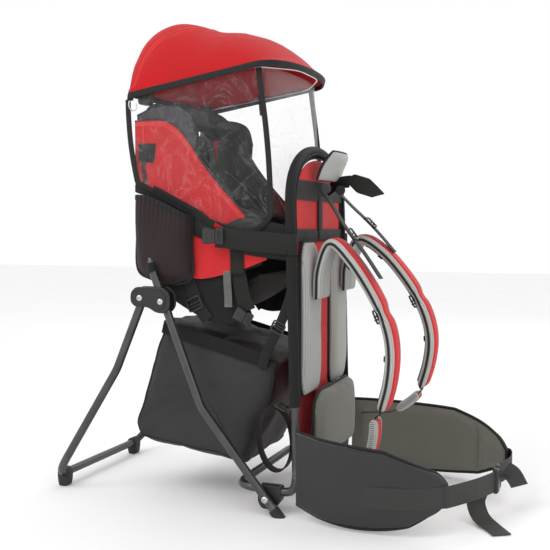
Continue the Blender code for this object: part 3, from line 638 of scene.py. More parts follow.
def rounded_outline(corners, radius, steps=4):
    """Each corner of a closed outline in a plane turned into an arc."""
    out = []
    n = len(corners)
    for i in range(n):
        here = Vector(corners[i])
        before, after = Vector(corners[i - 1]) - here, Vector(corners[(i + 1) % n]) - here
        reach = min(radius, before.length * 0.45, after.length * 0.45)
        start, end = here + before.normalized() * reach, here + after.normalized() * reach
        for k in range(steps + 1):
            t = k / steps
            out.append(tuple(start.lerp(here, t).lerp(here.lerp(end, t), t)))
    return out


def turned(name, profile, centre, axis, mats, body, slot, sides=28):
    """A lathed piece: profile is (distance along the axis, radius), closed at both ends."""
    axis = Vector(axis).normalized()
    side = axis.orthogonal().normalized()
    up = axis.cross(side)
    rings = []
    for along, r in profile:
        middle = Vector(centre) + axis * along
        rings.append([middle + (side * math.cos(a) + up * math.sin(a)) * r for a in around(sides)])
    points, faces = rings_to_mesh(rings, False)
    return piece(name, points, faces, mats, body, slot, sharp=0.5)


def rivet_head(name, place, y, sign, body, radius=0.0062, mat=None, hex_hole=True):
    """A domed head that stands on a face at y and looks outwards."""
    dome = [
        (-0.003, radius * 0.55), (0.0, radius), (0.0009, radius), (0.0019, radius * 0.86),
        (0.0026, radius * 0.6)
    ]
    dome += (
        [(0.0028, radius * 0.46), (0.0012, radius * 0.40), (0.0012, radius * 0.1)] if hex_hole
        else [(0.003, radius * 0.12)]
    )
    centre = (place[0], sign * y, place[1])
    return turned(name, dome, centre, (0, sign, 0), mat or STEEL, body, "steel_wire")


def make_tubes():
    tubes = (
        ("frame_tube_back", arch_path(), BACK, "back_frame_tube"),
        ("frame_tube_rear", rear_path(), REAR, "rear_frame_tube"),
        ("frame_tube_stand", stand_path(), STAND, "kickstand_tube"),
        ("frame_tube_foot", loop_path(), BACK, "foot_loop"),
    )
    for name, path, body, cad in tubes:
        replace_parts(round_bar(name, evened(path, 0.009), TUBE_R, TUBE, body, "gunmetal_tube", sides=28), cad)


def make_foot_block(side, sign):
    outline = [
        (-0.046, 0.052), (-0.046, 0.020), (-0.038, 0.008), (-0.016, 0.008), (0.000, 0.026), (0.000, 0.052)
    ]
    low, high = sorted((sign * 0.147, sign * 0.1671))
    block = extrude(
        f"frame_block_{side}", rounded_outline(outline, 0.006), low, high, PLASTIC, BACK, "black_plastic"
    )
    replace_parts(block, f"foot_block_{side}")
    along = strut_along()
    rings = []
    for k in range(9):
        at, reach = along * (0.0170 * (1 - k / 8)), 0.0100 + 0.0009 * (k % 2) * (0 < k < 8)
        ring = []
        for a in around(20):
            x, y = reach * math.cos(a), reach * math.sin(a)
            ring.append(Vector((at.x + x * along.z, sign * STRUT_Y + y, at.z - x * along.x)))
        rings.append(ring)
    sole = [Vector((p.x - p.z * along.x / along.z, p.y, 0.0)) for p in rings[-1]]
    lowest = 0.0004
    rings = [[Vector((p.x, p.y, max(p.z, lowest))) for p in ring] for ring in rings[:-1]] + [sole]
    points, faces = rings_to_mesh(rings, False)
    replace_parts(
        piece(f"frame_foot_{side}", points, faces, RUBBER, REAR, "black_rubber"), f"strut_foot_{side}"
    )
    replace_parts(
        rivet_head(f"fold_rivet_{side}", RIVET, STRUT_Y + TUBE_R - 0.0006, sign, REAR),
        f"strut_rivet_{side}"
    )


def make_bracket(side, sign):
    """The hinge plates either side of the strut, which carry the kickstand's leg."""
    outline = [(-0.297, 0.386), (-0.297, 0.404), (-0.286, 0.415), (-0.226, 0.415), (-0.213, 0.402)]
    outline += [(-0.213, 0.378), (-0.222, 0.366), (-0.242, 0.366), (-0.260, 0.377), (-0.288, 0.377)]
    outline = rounded_outline(outline, 0.009)
    inner_face, outer_face = 0.1632, 0.1928
    for label, y in (("inner", 0.1665), ("outer", 0.1895)):
        low, high = sorted((sign * (y - 0.0026), sign * (y + 0.0026)))
        plate = extrude(f"hinge_{label}_{side}", outline, low, high, PLASTIC, REAR, "black_plastic", 0.0014)
        raised = [((x + 0.255) * 0.78 - 0.255, (z - 0.392) * 0.72 + 0.392) for x, z in outline]
        y2 = y + (0.0031 if label == "outer" else -0.0031)
        low, high = sorted((sign * (y2 - 0.0008), sign * (y2 + 0.0008)))
        extrude(f"hinge_rim_{label}_{side}", raised, low, high, PLASTIC, REAR, "black_plastic", 0.0006)
        if label == "outer":
            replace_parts(plate, f"hinge_bracket_{side}")
    web = rounded_outline(
        [(-0.262, 0.4095), (-0.226, 0.4095), (-0.220, 0.404), (-0.246, 0.404), (-0.262, 0.404)], 0.001
    )
    low, high = sorted((sign * 0.168, sign * 0.188))
    extrude(f"hinge_web_{side}", web, low, high, PLASTIC, REAR, "black_plastic", 0.0008)
    for label, place, cad in (("screw", FRAME_SCREW, "bracket_screw"), ("pivot", LEG_PIVOT, "leg_pivot")):
        head = rivet_head(f"hinge_{label}_{side}", place, outer_face, sign, REAR, 0.0058)
        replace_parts(head, f"{cad}_{side}")
        inner = rivet_head(
            f"hinge_{label}_inner_{side}", place, inner_face, -sign, REAR, 0.0052, hex_hole=False
        )
        inner.location.y = sign * 2 * inner_face


def make_stand_feet(side, sign):
    """A rubber boot that wraps the kickstand's floor bar."""
    rings = []
    for y, r in ((-0.0110, 0.0106), (-0.0100, 0.0118), (0.0100, 0.0118), (0.0110, 0.0106)):
        ring = []
        for a in around(24):
            x, z = r * math.cos(a), 0.026 + r * math.sin(a)
            if math.sin(a) < 0:
                x *= 1.0 if math.sin(a) > -0.8 else 0.92
                z = 0.026 + (r - 0.0118 + 0.026) * max(math.sin(a) * 1.35, -1)
            ring.append(Vector((-0.482 + x, sign * 0.140 + y, max(z, 0.0002))))
        rings.append(ring)
    points, faces = rings_to_mesh(rings, False)
    boot = piece(f"stand_foot_{side}", points, faces, RUBBER, STAND, "black_rubber", sharp=0.9)
    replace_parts(boot, f"kickstand_foot_{side}")


def make_frame():
    make_tubes()
    for side, sign in SIDES:
        make_foot_block(side, sign)
        make_bracket(side, sign)
        make_stand_feet(side, sign)
        clip = rounded_outline([(-0.3035, 0.764), (-0.3035, 0.797), (-0.279, 0.797), (-0.279, 0.764)], 0.008)
        low, high = sorted((sign * 0.1245, sign * 0.1460))
        clip = extrude(f"hood_clip_{side}", clip, low, high, PLASTIC, REAR, "black_plastic", 0.002)
        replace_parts(clip, f"canopy_clip_{side}")


# ---- canopy and clear shield -------------------------------------------------------------------
RIDGE = [(-0.325, 0.790), (-0.337, 0.850), (-0.324, 0.902), (-0.296, 0.932), (-0.258, 0.941), (-0.212, 0.932)]
RIDGE += [(-0.168, 0.917), (-0.118, 0.909), (-0.068, 0.892), (-0.028, 0.866), (0.006, 0.832)]
RIDGE_CURVE = evened(curved([(x, 0, z) for x, z in RIDGE], 8), 0.002)
RIM_REAR = (-0.313, 0.783)
RIM_FRONT = (-0.050, 0.826)
DOME_CENTRE = Vector((-0.16, 0, 0.80))


def hood_point(s, t):
    """A place on the dome: s from the near rim to the far one, t from the rear edge to the visor."""
    ridge = RIDGE_CURVE[round(t * (len(RIDGE_CURVE) - 1))]
    rim = t**1.4
    rim_x = RIM_REAR[0] + (RIM_FRONT[0] - RIM_REAR[0]) * rim
    rim_z = RIM_REAR[1] + (RIM_FRONT[1] - RIM_REAR[1]) * rim
    rise = max(0.0, math.cos(s * math.pi / 2)) ** 0.85
    p = Vector(
        (
            rim_x + (ridge.x - rim_x) * rise, CANOPY_Y * math.sin(s * math.pi / 2),
            rim_z + (ridge.z - rim_z) * rise
        )
    )
    free = math.sin(math.pi * min(1, max(0, t))) * rise
    along = abs(seam_place(s) - t)
    dip = -0.0022 * math.exp(-((along / 0.035) ** 2)) * rise
    fold = 0.0030 * free * wobble(p, 11.0, 3.0) + 0.0012 * free * wobble(p, 34.0, 5.0)
    return p + (p - DOME_CENTRE).normalized() * (dip + fold - 0.0012)


def seam_place(s):
    """The seam between the rear panel and the visor panel runs back towards both rims."""
    return 0.07 + (0.545 - 0.07) * math.cos(s * math.pi / 2) ** 0.9


def hood_rim():
    """Round the rim: near side forward, visor, far side back, and the rear edge."""
    near = [hood_point(-1, k / 40) for k in range(41)]
    front = [hood_point(-1 + 2 * k / 48, 1) for k in range(1, 48)]
    far = [hood_point(1, 1 - k / 40) for k in range(41)]
    rear = [hood_point(1 - 2 * k / 48, 0) for k in range(1, 48)]
    return near + front + far + rear


def make_hood():
    hood = slab("hood_dome", hood_point, 56, 64, 0.0006, RED, HOOD, "red_fabric")
    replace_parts(hood, "canopy")
    rim = [p - Vector((0, 0, 0.0022)) for p in hood_rim()]
    rim = evened(rim + rim[:1], 0.006)[:-1]
    across = [Vector((0.35 * min(1.0, max(0.0, (p.x + 0.06) / 0.05)), 0, 1)) for p in rim]

    def raised(s, t, lift):
        p = hood_point(s, t)
        return p + (p - DOME_CENTRE).normalized() * lift, p - DOME_CENTRE

    wide = [-1 + 2 * k / 80 for k in range(3, 78)]
    rows = [[raised(s, seam_place(s) + shift, 0.0009) for s in wide] for shift in (-0.013, 0.013)]
    welt = [raised(s, seam_place(s), 0.0007)[0] for s in (-1 + 2 * k / 80 for k in range(2, 79))]
    visor = [raised(-1 + 2 * k / 48, 0.962, 0.0008) for k in range(1, 48)]
    trim = [
        sweep(
            "hood_binding", rim, across, band(0.0058, 0.0021, 0.6), BINDING, HOOD, "black_webbing",
            loop=True
        ),
        stitches("hood_seam_thread", rows, THREAD_RED, HOOD, "red_fabric"),
        round_bar("hood_seam_welt", welt, 0.0011, RED, HOOD, "red_fabric", sides=8),
        stitches("hood_visor_thread", [visor], THREAD_RED, HOOD, "red_fabric"),
    ]
    tie = [(-0.166, 0.1555, 0.826), (-0.166, 0.1535, 0.806), (-0.165, 0.1530, 0.788), (-0.163, 0.1525, 0.772)]
    strap("hood_tie_far", tie, (1, 0, 0), 0.0055, HOOD, 0.0008)
    near = [
        (CANOPY_PIVOT[0], -0.124, CANOPY_PIVOT[1]), (CANOPY_PIVOT[0], -0.1545, CANOPY_PIVOT[1]),
        (-0.058, -0.1545, 0.8215)
    ]
    near += [(-0.004, -0.060, 0.8265)]
    path = filleted(mirrored(near), (0.006, 0.05, 0.10, 0.10, 0.05, 0.006))
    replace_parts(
        round_bar("hood_hoop", evened(path, 0.006), 0.002, STEEL, HOOD, "steel_wire", sides=14),
        "canopy_hoop"
    )
    for side, sign in SIDES:
        hook = [
            (-0.313, sign * 0.1500, 0.779), (-0.318, sign * 0.1540, 0.768), (-0.316, sign * 0.1545, 0.757)
        ]
        hook += [
            (-0.309, sign * 0.1530, 0.752), (-0.304, sign * 0.1505, 0.757), (-0.305, sign * 0.1490, 0.765)
        ]
        round_bar(
            f"hood_hook_{side}", evened(curved(hook, 6), 0.0015), 0.0013, STEEL, HOOD, "steel_wire",
            sides=12
        )
        tab = [(-0.310, sign * 0.1555, 0.792), (-0.313, sign * 0.1560, 0.782), (-0.315, sign * 0.1545, 0.772)]
        strap(f"hood_tab_{side}", tab, (1, 0, 0.2), 0.0065, HOOD, 0.0008, gap=0.003)


def shield_hem(q):
    lift = max(0.0, (q - 0.80) / 0.20) ** 2.6
    return 0.612 - 0.098 * math.sin(q * math.pi / 2) ** 1.2 + 0.040 * lift


def shield_side_point(q, t, sign):
    """q from the rear edge to the front corner, t from the rim down to the hem."""
    top = Vector((-0.322 + 0.272 * q, sign * SHIELD_Y, 0.774 + 0.045 * q))
    low = Vector((-0.322 + 0.297 * q, sign * SHIELD_Y, shield_hem(q)))
    rear = 1 - q
    p = top.lerp(low, t)
    p.x += 0.020 * rear**3 * t**2 + 0.004 * q * math.sin(math.pi * t) ** 1.5
    ripple = 0.0014 * math.sin(math.pi * t) * wobble(p, 9.0, 8.0)
    return p + Vector((0, sign * ripple, 0))


def shield_front_point(s, t):
    bow = math.cos(s * math.pi / 2)
    top = Vector((-0.050 + 0.030 * bow, SHIELD_Y * math.sin(s * math.pi / 2), 0.819 + 0.002 * bow))
    low = Vector((-0.0268 - 0.008 * bow, SHIELD_Y * math.sin(s * math.pi / 2), 0.556 - 0.010 * bow))
    p = top.lerp(low, t)
    p.x += 0.004 * math.sin(math.pi * t) ** 1.5 + 0.0018 * bow * wobble(p, 8.0, 2.0)
    return p


def make_shield():
    pieces = []
    for side, sign in SIDES:

        def place(s, t, sign=sign):
            return shield_side_point((s + 1) / 2, t, sign)

        film = slab(f"shield_film_{side}", place, 20, 30, 0.00025, FILM, HOOD, "clear_sheet")
        rear = [shield_side_point(0, k / 16, sign) for k in range(17)]
        hem = [shield_side_point(k / 30, 1, sign) for k in range(31)]
        front = [shield_side_point(1, 1 - k / 16, sign) for k in range(17)]
        way = evened(curved(rear + hem[1:] + front[1:], 2), 0.006)
        way = [way[0], *((a + b * 2 + c) / 4 for a, b, c in zip(way, way[1:], way[2:])), way[-1]]
        turned_in = [Vector((t.z, 0, -t.x)) for t in directions(way)]
        tape = sweep(
            f"shield_binding_{side}", way, turned_in, band(0.0052, 0.0018, 0.6), BINDING, HOOD,
            "black_webbing"
        )
        pieces += [film, tape]
        tab = [
            (-0.1385, sign * 0.1530, 0.5330), (-0.128, sign * 0.1532, 0.5270),
            (-0.117, sign * 0.1532, 0.5215)
        ]
        pieces.append(
            strap(
                f"shield_tab_{side}", tab, (0.4, 0, 1), 0.0042, HOOD, 0.0008, RED, "red_fabric", gap=0.003
            )
        )
    front = slab("shield_film_front", shield_front_point, 18, 34, 0.00025, FILM, HOOD, "clear_sheet")
    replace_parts(front, "rain_shield")
    hem = [shield_front_point(-1 + 2 * k / 30, 1) for k in range(31)]
    tape = sweep(
        "shield_binding_front", evened(hem, 0.006), (0, 0, 1), band(0.0040, 0.0014, 0.6), BINDING, HOOD,
        "black_webbing"
    )
    for obj in pieces + [front, tape]:
        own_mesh(obj)


# ---- cloth panels ------------------------------------------------------------------------------
def lay(obj):
    """Reads a sheet's own cloth coordinates and hands the sheet back unchanged."""
    mesh = obj.data
    strip = np.empty(len(mesh.vertices) * 3, np.float32)
    mesh.attributes["strip"].data.foreach_get("vector", strip)
    return obj


def at_share(path, share):
    """The point this share of the way along an evened path."""
    place = share * (len(path) - 1)
    k = min(int(place), len(path) - 2)
    return path[k].lerp(path[k + 1], place - k)


def side_patch(
    name, top, low, sign, y, mats, bulge=0.0, crease=0.0, half=0.0006, rows=16, columns=24,
    slot="red_fabric", seed=0.0, fold=None, body=REAR
):
    """A panel on one side of the seat between two edges, given as (x, z) points, that stands off at y."""
    top, low = (evened(curved([(x, 0, z) for x, z in edge], 8), 0.002) for edge in (top, low))

    def surface(s, t):
        p = at_share(top, (s + 1) / 2).lerp(at_share(low, (s + 1) / 2), t)
        swell = math.cos(s * math.pi / 2) * math.sin(math.pi * t)
        away = (
            y + bulge * max(0.0, swell) ** 0.6
            + crease * max(0.0, swell) ** 0.5 * wobble((p.x, 0, p.z), 24.0, seed)
        )
        if fold:
            away += fold(s, t)
        return Vector((p.x, sign * away, p.z))

    return slab(name, surface, rows, columns, half, mats, body, slot)


def on_side(points, sign, y):
    return [Vector((x, sign * y, z)) for x, z in points]


def snap(name, x, z, y, sign, body=REAR, radius=0.0095):
    """A press stud's cap, which looks outwards."""
    steps = ((0.0, 1), (0.0016, 1), (0.0026, 0.85), (0.0028, 0.5), (0.0022, 0.45), (0.0022, 0.1))
    rings = [(along, radius * share) for along, share in steps]
    return turned(name, rings, (x, sign * y, z), (0, sign, 0), PLASTIC, body, "black_plastic")


def squash_side(*objs):
    """Gives each piece its own copy of its mesh."""
    for obj in objs:
        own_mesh(obj)


RED_TOP = [
    (-0.310, 0.733), (-0.275, 0.734), (-0.242, 0.731), (-0.213, 0.712), (-0.190, 0.684), (-0.163, 0.645),
    (-0.128, 0.604), (-0.078, 0.550)
]
RED_LOW = [
    (-0.310, 0.607), (-0.285, 0.602), (-0.266, 0.597), (-0.232, 0.581), (-0.192, 0.561), (-0.160, 0.545),
    (-0.131, 0.530), (-0.096, 0.527)
]


def make_seat_side(side, sign):
    red = side_patch(
        f"seat_red_{side}", RED_TOP, RED_LOW, sign, 0.1448, RED, 0.0014, 0.0022, rows=30, columns=54,
        seed=sign
    )
    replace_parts(red, f"seat_side_{side}")
    edge = on_side(RED_TOP, sign, 0.1452)
    red_edge = piping(f"seat_piping_{side}", curved(edge, 6), 0.0016, REAR, "charcoal_fabric", sides=10)
    rows = []
    for inset in (0.006, 0.0095):
        line = [Vector((x - inset * 0.55, sign * 0.1462, z - inset)) for x, z in RED_TOP]
        rows.append([(p, (0, sign, 0)) for p in curved(line, 4)])
    thread = stitches(f"seat_thread_{side}", rows, THREAD_RED, REAR, "red_fabric")
    lay(red)
    yoke_top = [
        (-0.307, 0.744), (-0.272, 0.757), (-0.240, 0.760), (-0.208, 0.753), (-0.190, 0.738), (-0.181, 0.705)
    ]
    yoke_low = [
        (-0.307, 0.722), (-0.272, 0.722), (-0.246, 0.716), (-0.216, 0.700), (-0.198, 0.680), (-0.184, 0.664)
    ]
    yoke = side_patch(
        f"seat_yoke_{side}", yoke_top, yoke_low, sign, 0.1412, COLLAR, 0.0016, 0.0016, 0.0008, 14, 40,
        "charcoal_fabric", 5.0
    )
    yoke_edge = piping(f"seat_yoke_piping_{side}", curved(on_side(yoke_top, sign, 0.1414), 6), 0.0018, REAR)
    lay(yoke)
    patch = side_patch(
        f"seat_patch_{side}", [(-0.300, 0.690), (-0.264, 0.688)], [(-0.303, 0.654), (-0.268, 0.652)], sign,
        0.1472, BLACK, 0.0012, 0.0006, 0.0007, 8, 8, "black_fabric"
    )
    button = snap(f"seat_snap_{side}", -0.285, 0.670, 0.1482, sign)
    pull = strap(
        f"seat_pull_{side}",
        on_side([(-0.290, 0.655), (-0.291, 0.640), (-0.288, 0.622), (-0.290, 0.610)], sign, 0.1484),
        (1, 0, 0), 0.0035, REAR, 0.0007, gap=0.003
    )
    made = [yoke, yoke_edge, red, red_edge, thread, patch, button, pull]
    a, b = (-0.292, 0.733), (-0.291, 0.610)
    line = []
    for k in range(21):
        p = Vector((a[0] + (b[0] - a[0]) * k / 20, sign * 0.1462, a[1] + (b[1] - a[1]) * k / 20))
        line.append((p, (0, sign, 0)))
    made.append(stitches(f"seat_rear_thread_{side}", [line], THREAD_RED, REAR, "red_fabric"))
    lay(patch)
    band_low = side_patch(
        f"seat_band_{side}",
        [
            (-0.309, 0.610), (-0.266, 0.602), (-0.192, 0.566), (-0.131, 0.532), (-0.080, 0.545),
            (0.012, 0.530)
        ],
        [
            (-0.309, 0.596), (-0.266, 0.578), (-0.192, 0.516), (-0.131, 0.503), (-0.080, 0.478),
            (0.012, 0.466)
        ], sign, 0.1478, LINING, 0.0012, 0.0016, 0.0008, 12, 56, "black_fabric", 4.0
    )
    lay(band_low)
    square = side_patch(
        f"seat_square_{side}", [(-0.192, 0.516), (-0.160, 0.504), (-0.105, 0.498)],
        [(-0.192, 0.431), (-0.160, 0.431), (-0.105, 0.443)], sign, 0.1462, CORAL, 0.0018, 0.0022, 0.0006,
        18, 20, seed=2.0
    )
    lay(square)
    triangle = side_patch(
        f"seat_gusset_{side}", [(-0.084, 0.486), (-0.036, 0.476)], [(-0.084, 0.449), (-0.036, 0.468)], sign,
        0.1462, CORAL, 0.0012, 0.0012, 0.0006, 10, 12, seed=6.0
    )
    lay(triangle)
    upright = strap(
        f"seat_upright_{side}",
        on_side([(-0.0945, 0.522), (-0.0945, 0.490), (-0.094, 0.466), (-0.0935, 0.441)], sign, 0.1496),
        (1, 0, 0), 0.0135, REAR, 0.0009
    )
    made += [band_low, square, triangle, upright]
    diagonal = on_side(
        [(-0.268, 0.602), (-0.230, 0.583), (-0.170, 0.552), (-0.140, 0.528), (-0.109, 0.510)], sign, 0.1512
    )
    runs = strap(f"seat_diagonal_{side}", diagonal, (0.45, 0, 1), 0.0065, REAR, 0.0009)
    web = strap(
        f"side_web_{side}",
        on_side(
            [(-0.128, 0.5095), (-0.100, 0.507), (-0.050, 0.502), (-0.010, 0.499), (0.014, 0.497)], sign,
            0.1700
        ), (0, 0, 1), WEB_38, REAR, 0.0010
    )
    tail = strap(
        f"side_tail_{side}", on_side([(-0.152, 0.515), (-0.140, 0.5135), (-0.128, 0.512)], sign, 0.1700),
        (0, 0, 1), WEB_25, REAR, 0.0010, gap=0.003
    )
    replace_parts(web, f"side_webbing_{side}")
    wrap = [(0.014, 0.1700, 0.497), (0.024, 0.1690, 0.4965), (0.0275, 0.163, 0.496), (0.0270, 0.154, 0.496)]
    wrap += [(0.0165, 0.1475, 0.496), (0.004, 0.150, 0.497)]
    wrap = [(x, sign * y, z) for x, y, z in wrap]
    wrapped = strap(f"side_wrap_{side}", wrap, (0, 0, 1), WEB_38, REAR, 0.0009, gap=0.003)
    made += [runs, web, tail, wrapped]
    buckle = make_side_release(
        f"side_clip_{side}", Vector((-0.132, sign * 0.1735, 0.5115)), Vector((1, 0, -0.04)),
        Vector((0, 0, 1)), Vector((0, sign, 0)), 0.030, 0.042, REAR
    )
    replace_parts(buckle[0], f"side_buckle_{side}")
    squash_side(*made)


def make_side_release(prefix, centre, along, wide, out, width, length, body):
    """Both halves of a side-release buckle, closed: the socket with its two windows and the ribbed
    prong half.
    """
    along, wide, out = along.normalized(), wide.normalized(), out.normalized()
    half_w, t = width / 2, 0.0045

    def ring(x, w, thick):
        middle = centre + along * x
        return [middle + wide * a * w + out * b * thick for a, b in chamfered(0.86)]

    socket = [
        ring(-length * 0.50, half_w * 0.9, t * 0.6), ring(-length * 0.47, half_w, t * 0.9),
        ring(-length * 0.2, half_w, t), ring(0, half_w * 0.86, t),
        ring(length * 0.10, half_w * 0.84, t * 0.9), ring(length * 0.12, half_w * 0.8, t * 0.7)
    ]
    points, faces = rings_to_mesh(socket, False)
    a = piece(f"{prefix}_socket", points, faces, PLASTIC, body, "black_plastic", sharp=0.5)
    prong = [
        ring(length * 0.13, half_w * 0.72, t * 0.55), ring(length * 0.15, half_w * 0.95, t * 0.75),
        ring(length * 0.24, half_w, t * 0.9), ring(length * 0.40, half_w, t * 0.75),
        ring(length * 0.5, half_w * 0.92, t * 0.45)
    ]
    points, faces = rings_to_mesh(prong, False)
    b = piece(f"{prefix}_prong", points, faces, PLASTIC, body, "black_plastic", sharp=0.5)
    ribs = []
    for k in range(4):
        x = length * (0.25 + 0.055 * k)
        path = [
            centre + along * x + out * t * (0.93 - k * 0.06) + wide * half_w * w
            for w in (-0.7, -0.3, 0.3, 0.7)
        ]
        ribs.append(round_bar(f"{prefix}_rib{k}", path, 0.0007, PLASTIC, body, "black_plastic", sides=8))
    window = [
        centre + along * length * x + out * t * 0.98 + wide * half_w * w
        for x, w in ((-0.30, 0), (-0.22, 0.42), (-0.05, 0.42), (0.02, 0), (-0.05, -0.42), (-0.22, -0.42))
    ]
    rim = round_bar(
        f"{prefix}_rim", evened(curved(window + window[:1], 4), 0.0015)[:-1], 0.0006, PLASTIC, body,
        "black_plastic", sides=8, loop=True
    )
    return [a, b, rim] + ribs


def buckle_lock(name, centre, along, wide, width, body):
    """A ladder lock: a rounded frame with a raised bar and a lifted lip."""
    along, wide, centre = Vector(along).normalized(), Vector(wide).normalized(), Vector(centre)
    out = wide.cross(along).normalized()
    w, h = width / 2, width * 0.8 / 2
    corners = [centre + along * a * h + wide * b * w for a, b in ((-1, -1), (-1, 1), (1, 1), (1, -1))]
    loop = []
    for i, c in enumerate(corners):
        before, after = (corners[i - 1] - c).normalized(), (corners[(i + 1) % 4] - c).normalized()
        for k in range(4):
            t = k / 3
            start, end = c + before * 0.0035, c + after * 0.0035
            loop.append(start.lerp(c, t).lerp(c.lerp(end, t), t))
    outer = sweep(
        name, loop, out,
        [
            (-0.0013, -0.0015), (0.0013, -0.0015), (0.0018, 0.0), (0.0013, 0.0015), (-0.0013, 0.0015),
            (-0.0018, 0.0)
        ], PLASTIC, body, "black_plastic", loop=True
    )
    bars = []
    for i, (a, lift) in enumerate(((-0.1, 0.0012), (0.42, 0.0020))):
        path = [centre + along * a * h + wide * w * x + out * lift for x in (-0.98, -0.5, 0.5, 0.98)]
        bars.append(round_bar(f"{name}_bar{i}", path, 0.0017, PLASTIC, body, "black_plastic", sides=10))
    return [outer] + bars


def make_collar():
    half = [
        (-0.104, -0.129, 0.548), (-0.152, -0.129, 0.602), (-0.192, -0.129, 0.656), (-0.220, -0.127, 0.706)
    ]
    half += [(-0.244, -0.112, 0.742), (-0.258, -0.075, 0.752)]
    points = half + [(-0.264, 0.0, 0.756)] + [(x, -y, z) for x, y, z in reversed(half)]
    path = evened(curved(points, 6), 0.006)

    def surface(s, t):
        p = at_share(path, t)
        side = min(1.0, max(0.0, (abs(p.y) - 0.06) / 0.06))
        across = Vector((0.1 + 0.42 * side, 0, 1)).normalized()
        ends = min(1.0, 12 * min(t, 1 - t) + 0.35)
        outward = Vector((-0.6 * (1 - side), math.copysign(side, p.y) if side else 0, 0))
        return (
            p + across * s * 0.0225 * ends + outward * (0.0045 * (1 - s * s) + 0.001 * wobble(p, 16.0, 1.0))
        )

    pad = slab(
        "seat_rim_pad", surface, 90, 14, pillow(0.0085, 3.0, 14.0, 0.25), (COLLAR, LINING), REAR,
        "charcoal_fabric"
    )
    inflate(pad, 0.005, 3.0)
    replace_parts(pad, "seat_collar")
    edges = []
    for label, s in (("top", 1.0), ("low", -1.0)):
        line = [surface(s, k / 90) for k in range(91)]
        edges.append(piping(f"seat_rim_piping_{label}", line, 0.0023, REAR, sides=10))
    squash_side(pad, *edges)


def make_seat_lining():
    """The padded inner sides, the quilted back and the seat that the child sits in."""
    for side, sign in SIDES:
        top = [
            (-0.262, 0.735), (-0.232, 0.726), (-0.200, 0.690), (-0.160, 0.630), (-0.110, 0.575),
            (-0.050, 0.548)
        ]
        low = [
            (-0.262, 0.445), (-0.225, 0.440), (-0.180, 0.438), (-0.130, 0.438), (-0.090, 0.445),
            (-0.050, 0.458)
        ]
        pad = side_patch(
            f"seat_inner_{side}", top, low, sign, 0.1375, LINING, -0.003, 0.0012,
            pillow(0.0036, 6, 6, 0.35), 34, 34, "black_fabric", 7.0
        )
        edges = [evened(curved([(x, 0, z) for x, z in edge], 8), 0.002) for edge in (top, low)]
        seams = []
        for share in (0.28, 0.52, 0.76):
            line = []
            for k in range(3, 38):
                s = -1 + 2 * k / 40
                p = at_share(edges[0], (s + 1) / 2).lerp(at_share(edges[1], (s + 1) / 2), share)
                line.append((Vector((p.x, sign * 0.1308, p.z)), (0, -sign, 0)))
            seams.append(line)
        thread = stitches(f"seat_inner_thread_{side}", seams, THREAD_GREY, REAR, "black_fabric")
        squash_side(pad, thread)

    def back_surface(s, t):
        z = 0.720 - 0.288 * t
        width = 0.116 * (1 - 0.10 * (1 - t) ** 3)
        curve = 0.008 * (1 - s * s)
        return Vector((-0.2605 - curve * 0.6, s * width, z))

    def back_half(s, t):
        quilt = 0.5 + 0.5 * abs(math.cos(4.5 * math.pi * t)) ** 0.35
        sides = 0.55 + 0.45 * min(1.0, abs(abs(s) - 0.55) / 0.10) ** 0.5
        return pillow(0.0090, 8, 10, 0.22)(s, t) * quilt * sides

    back = slab("seat_back_pad", back_surface, 72, 32, back_half, LINING, REAR, "black_fabric")
    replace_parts(back, "seat_back")
    hammock = evened(
        curved(
            [
                (-0.262, 0, 0.418), (-0.225, 0, 0.385), (-0.165, 0, 0.368), (-0.105, 0, 0.392),
                (-0.060, 0, 0.440)
            ], 6
        ), 0.004
    )

    def seat_surface(s, t):
        p = at_share(hammock, t)
        return Vector(
            (
                p.x, s * 0.129,
                p.z + 0.016 * s * s * math.sin(math.pi * t) + 0.0015 * wobble((p.x, s * 0.13, p.z), 14.0)
            )
        )

    seat = slab("seat_hammock", seat_surface, 40, 40, pillow(0.0055, 8, 8, 0.3), BLACK, REAR, "black_fabric")
    inflate(seat, 0.004, 2.0)
    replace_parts(seat, "seat_bottom")
    squash_side(seat)
    for side, sign in SIDES:
        skirt_top = [(-0.258, 0.450), (-0.190, 0.440), (-0.112, 0.444), (-0.100, 0.446)]
        skirt_low = [(-0.258, 0.405), (-0.205, 0.372), (-0.140, 0.345), (-0.066, 0.358)]
        skirt = side_patch(
            f"seat_skirt_{side}", skirt_top, skirt_low, sign, 0.1375, BLACK, 0.0022, 0.0030, 0.0008, 22, 30,
            "black_fabric", 3.0
        )
        lay(skirt)
        sling = on_side([(-0.200, 0.434), (-0.188, 0.405), (-0.176, 0.378), (-0.158, 0.352)], sign, 0.1435)
        first = strap(f"seat_sling_{side}", sling, (1, 0, 0.3), WEB_25, REAR)
        lock = buckle_lock(
            f"seat_sling_lock_{side}", (-0.184, sign * 0.1462, 0.382), (0.45, 0, -1), (1, 0, 0.45), 0.029,
            REAR
        )
        tongue_path = on_side(
            [(-0.116, 0.446), (-0.115, 0.420), (-0.1135, 0.398), (-0.113, 0.378)], sign, 0.1465
        )
        tongue = strap(
            f"seat_tongue_{side}", tongue_path, (1, 0, 0), 0.0078, REAR, 0.0012, GREY_PLASTIC,
            "black_plastic", gap=0.004
        )
        second = strap(
            f"seat_tongue_web_{side}",
            on_side([(-0.095, 0.446), (-0.090, 0.420), (-0.084, 0.396), (-0.074, 0.372)], sign, 0.1425),
            (1, 0, 0.2), 0.0150, REAR
        )
        clip = make_side_release(
            f"seat_clip_{side}", Vector((-0.083, sign * 0.1465, 0.361)), Vector((0.8, 0, -0.42)),
            Vector((0.42, 0, 0.8)), Vector((0, sign, 0)), 0.026, 0.036, REAR
        )
        squash_side(skirt, first, *lock, tongue, second, *clip)


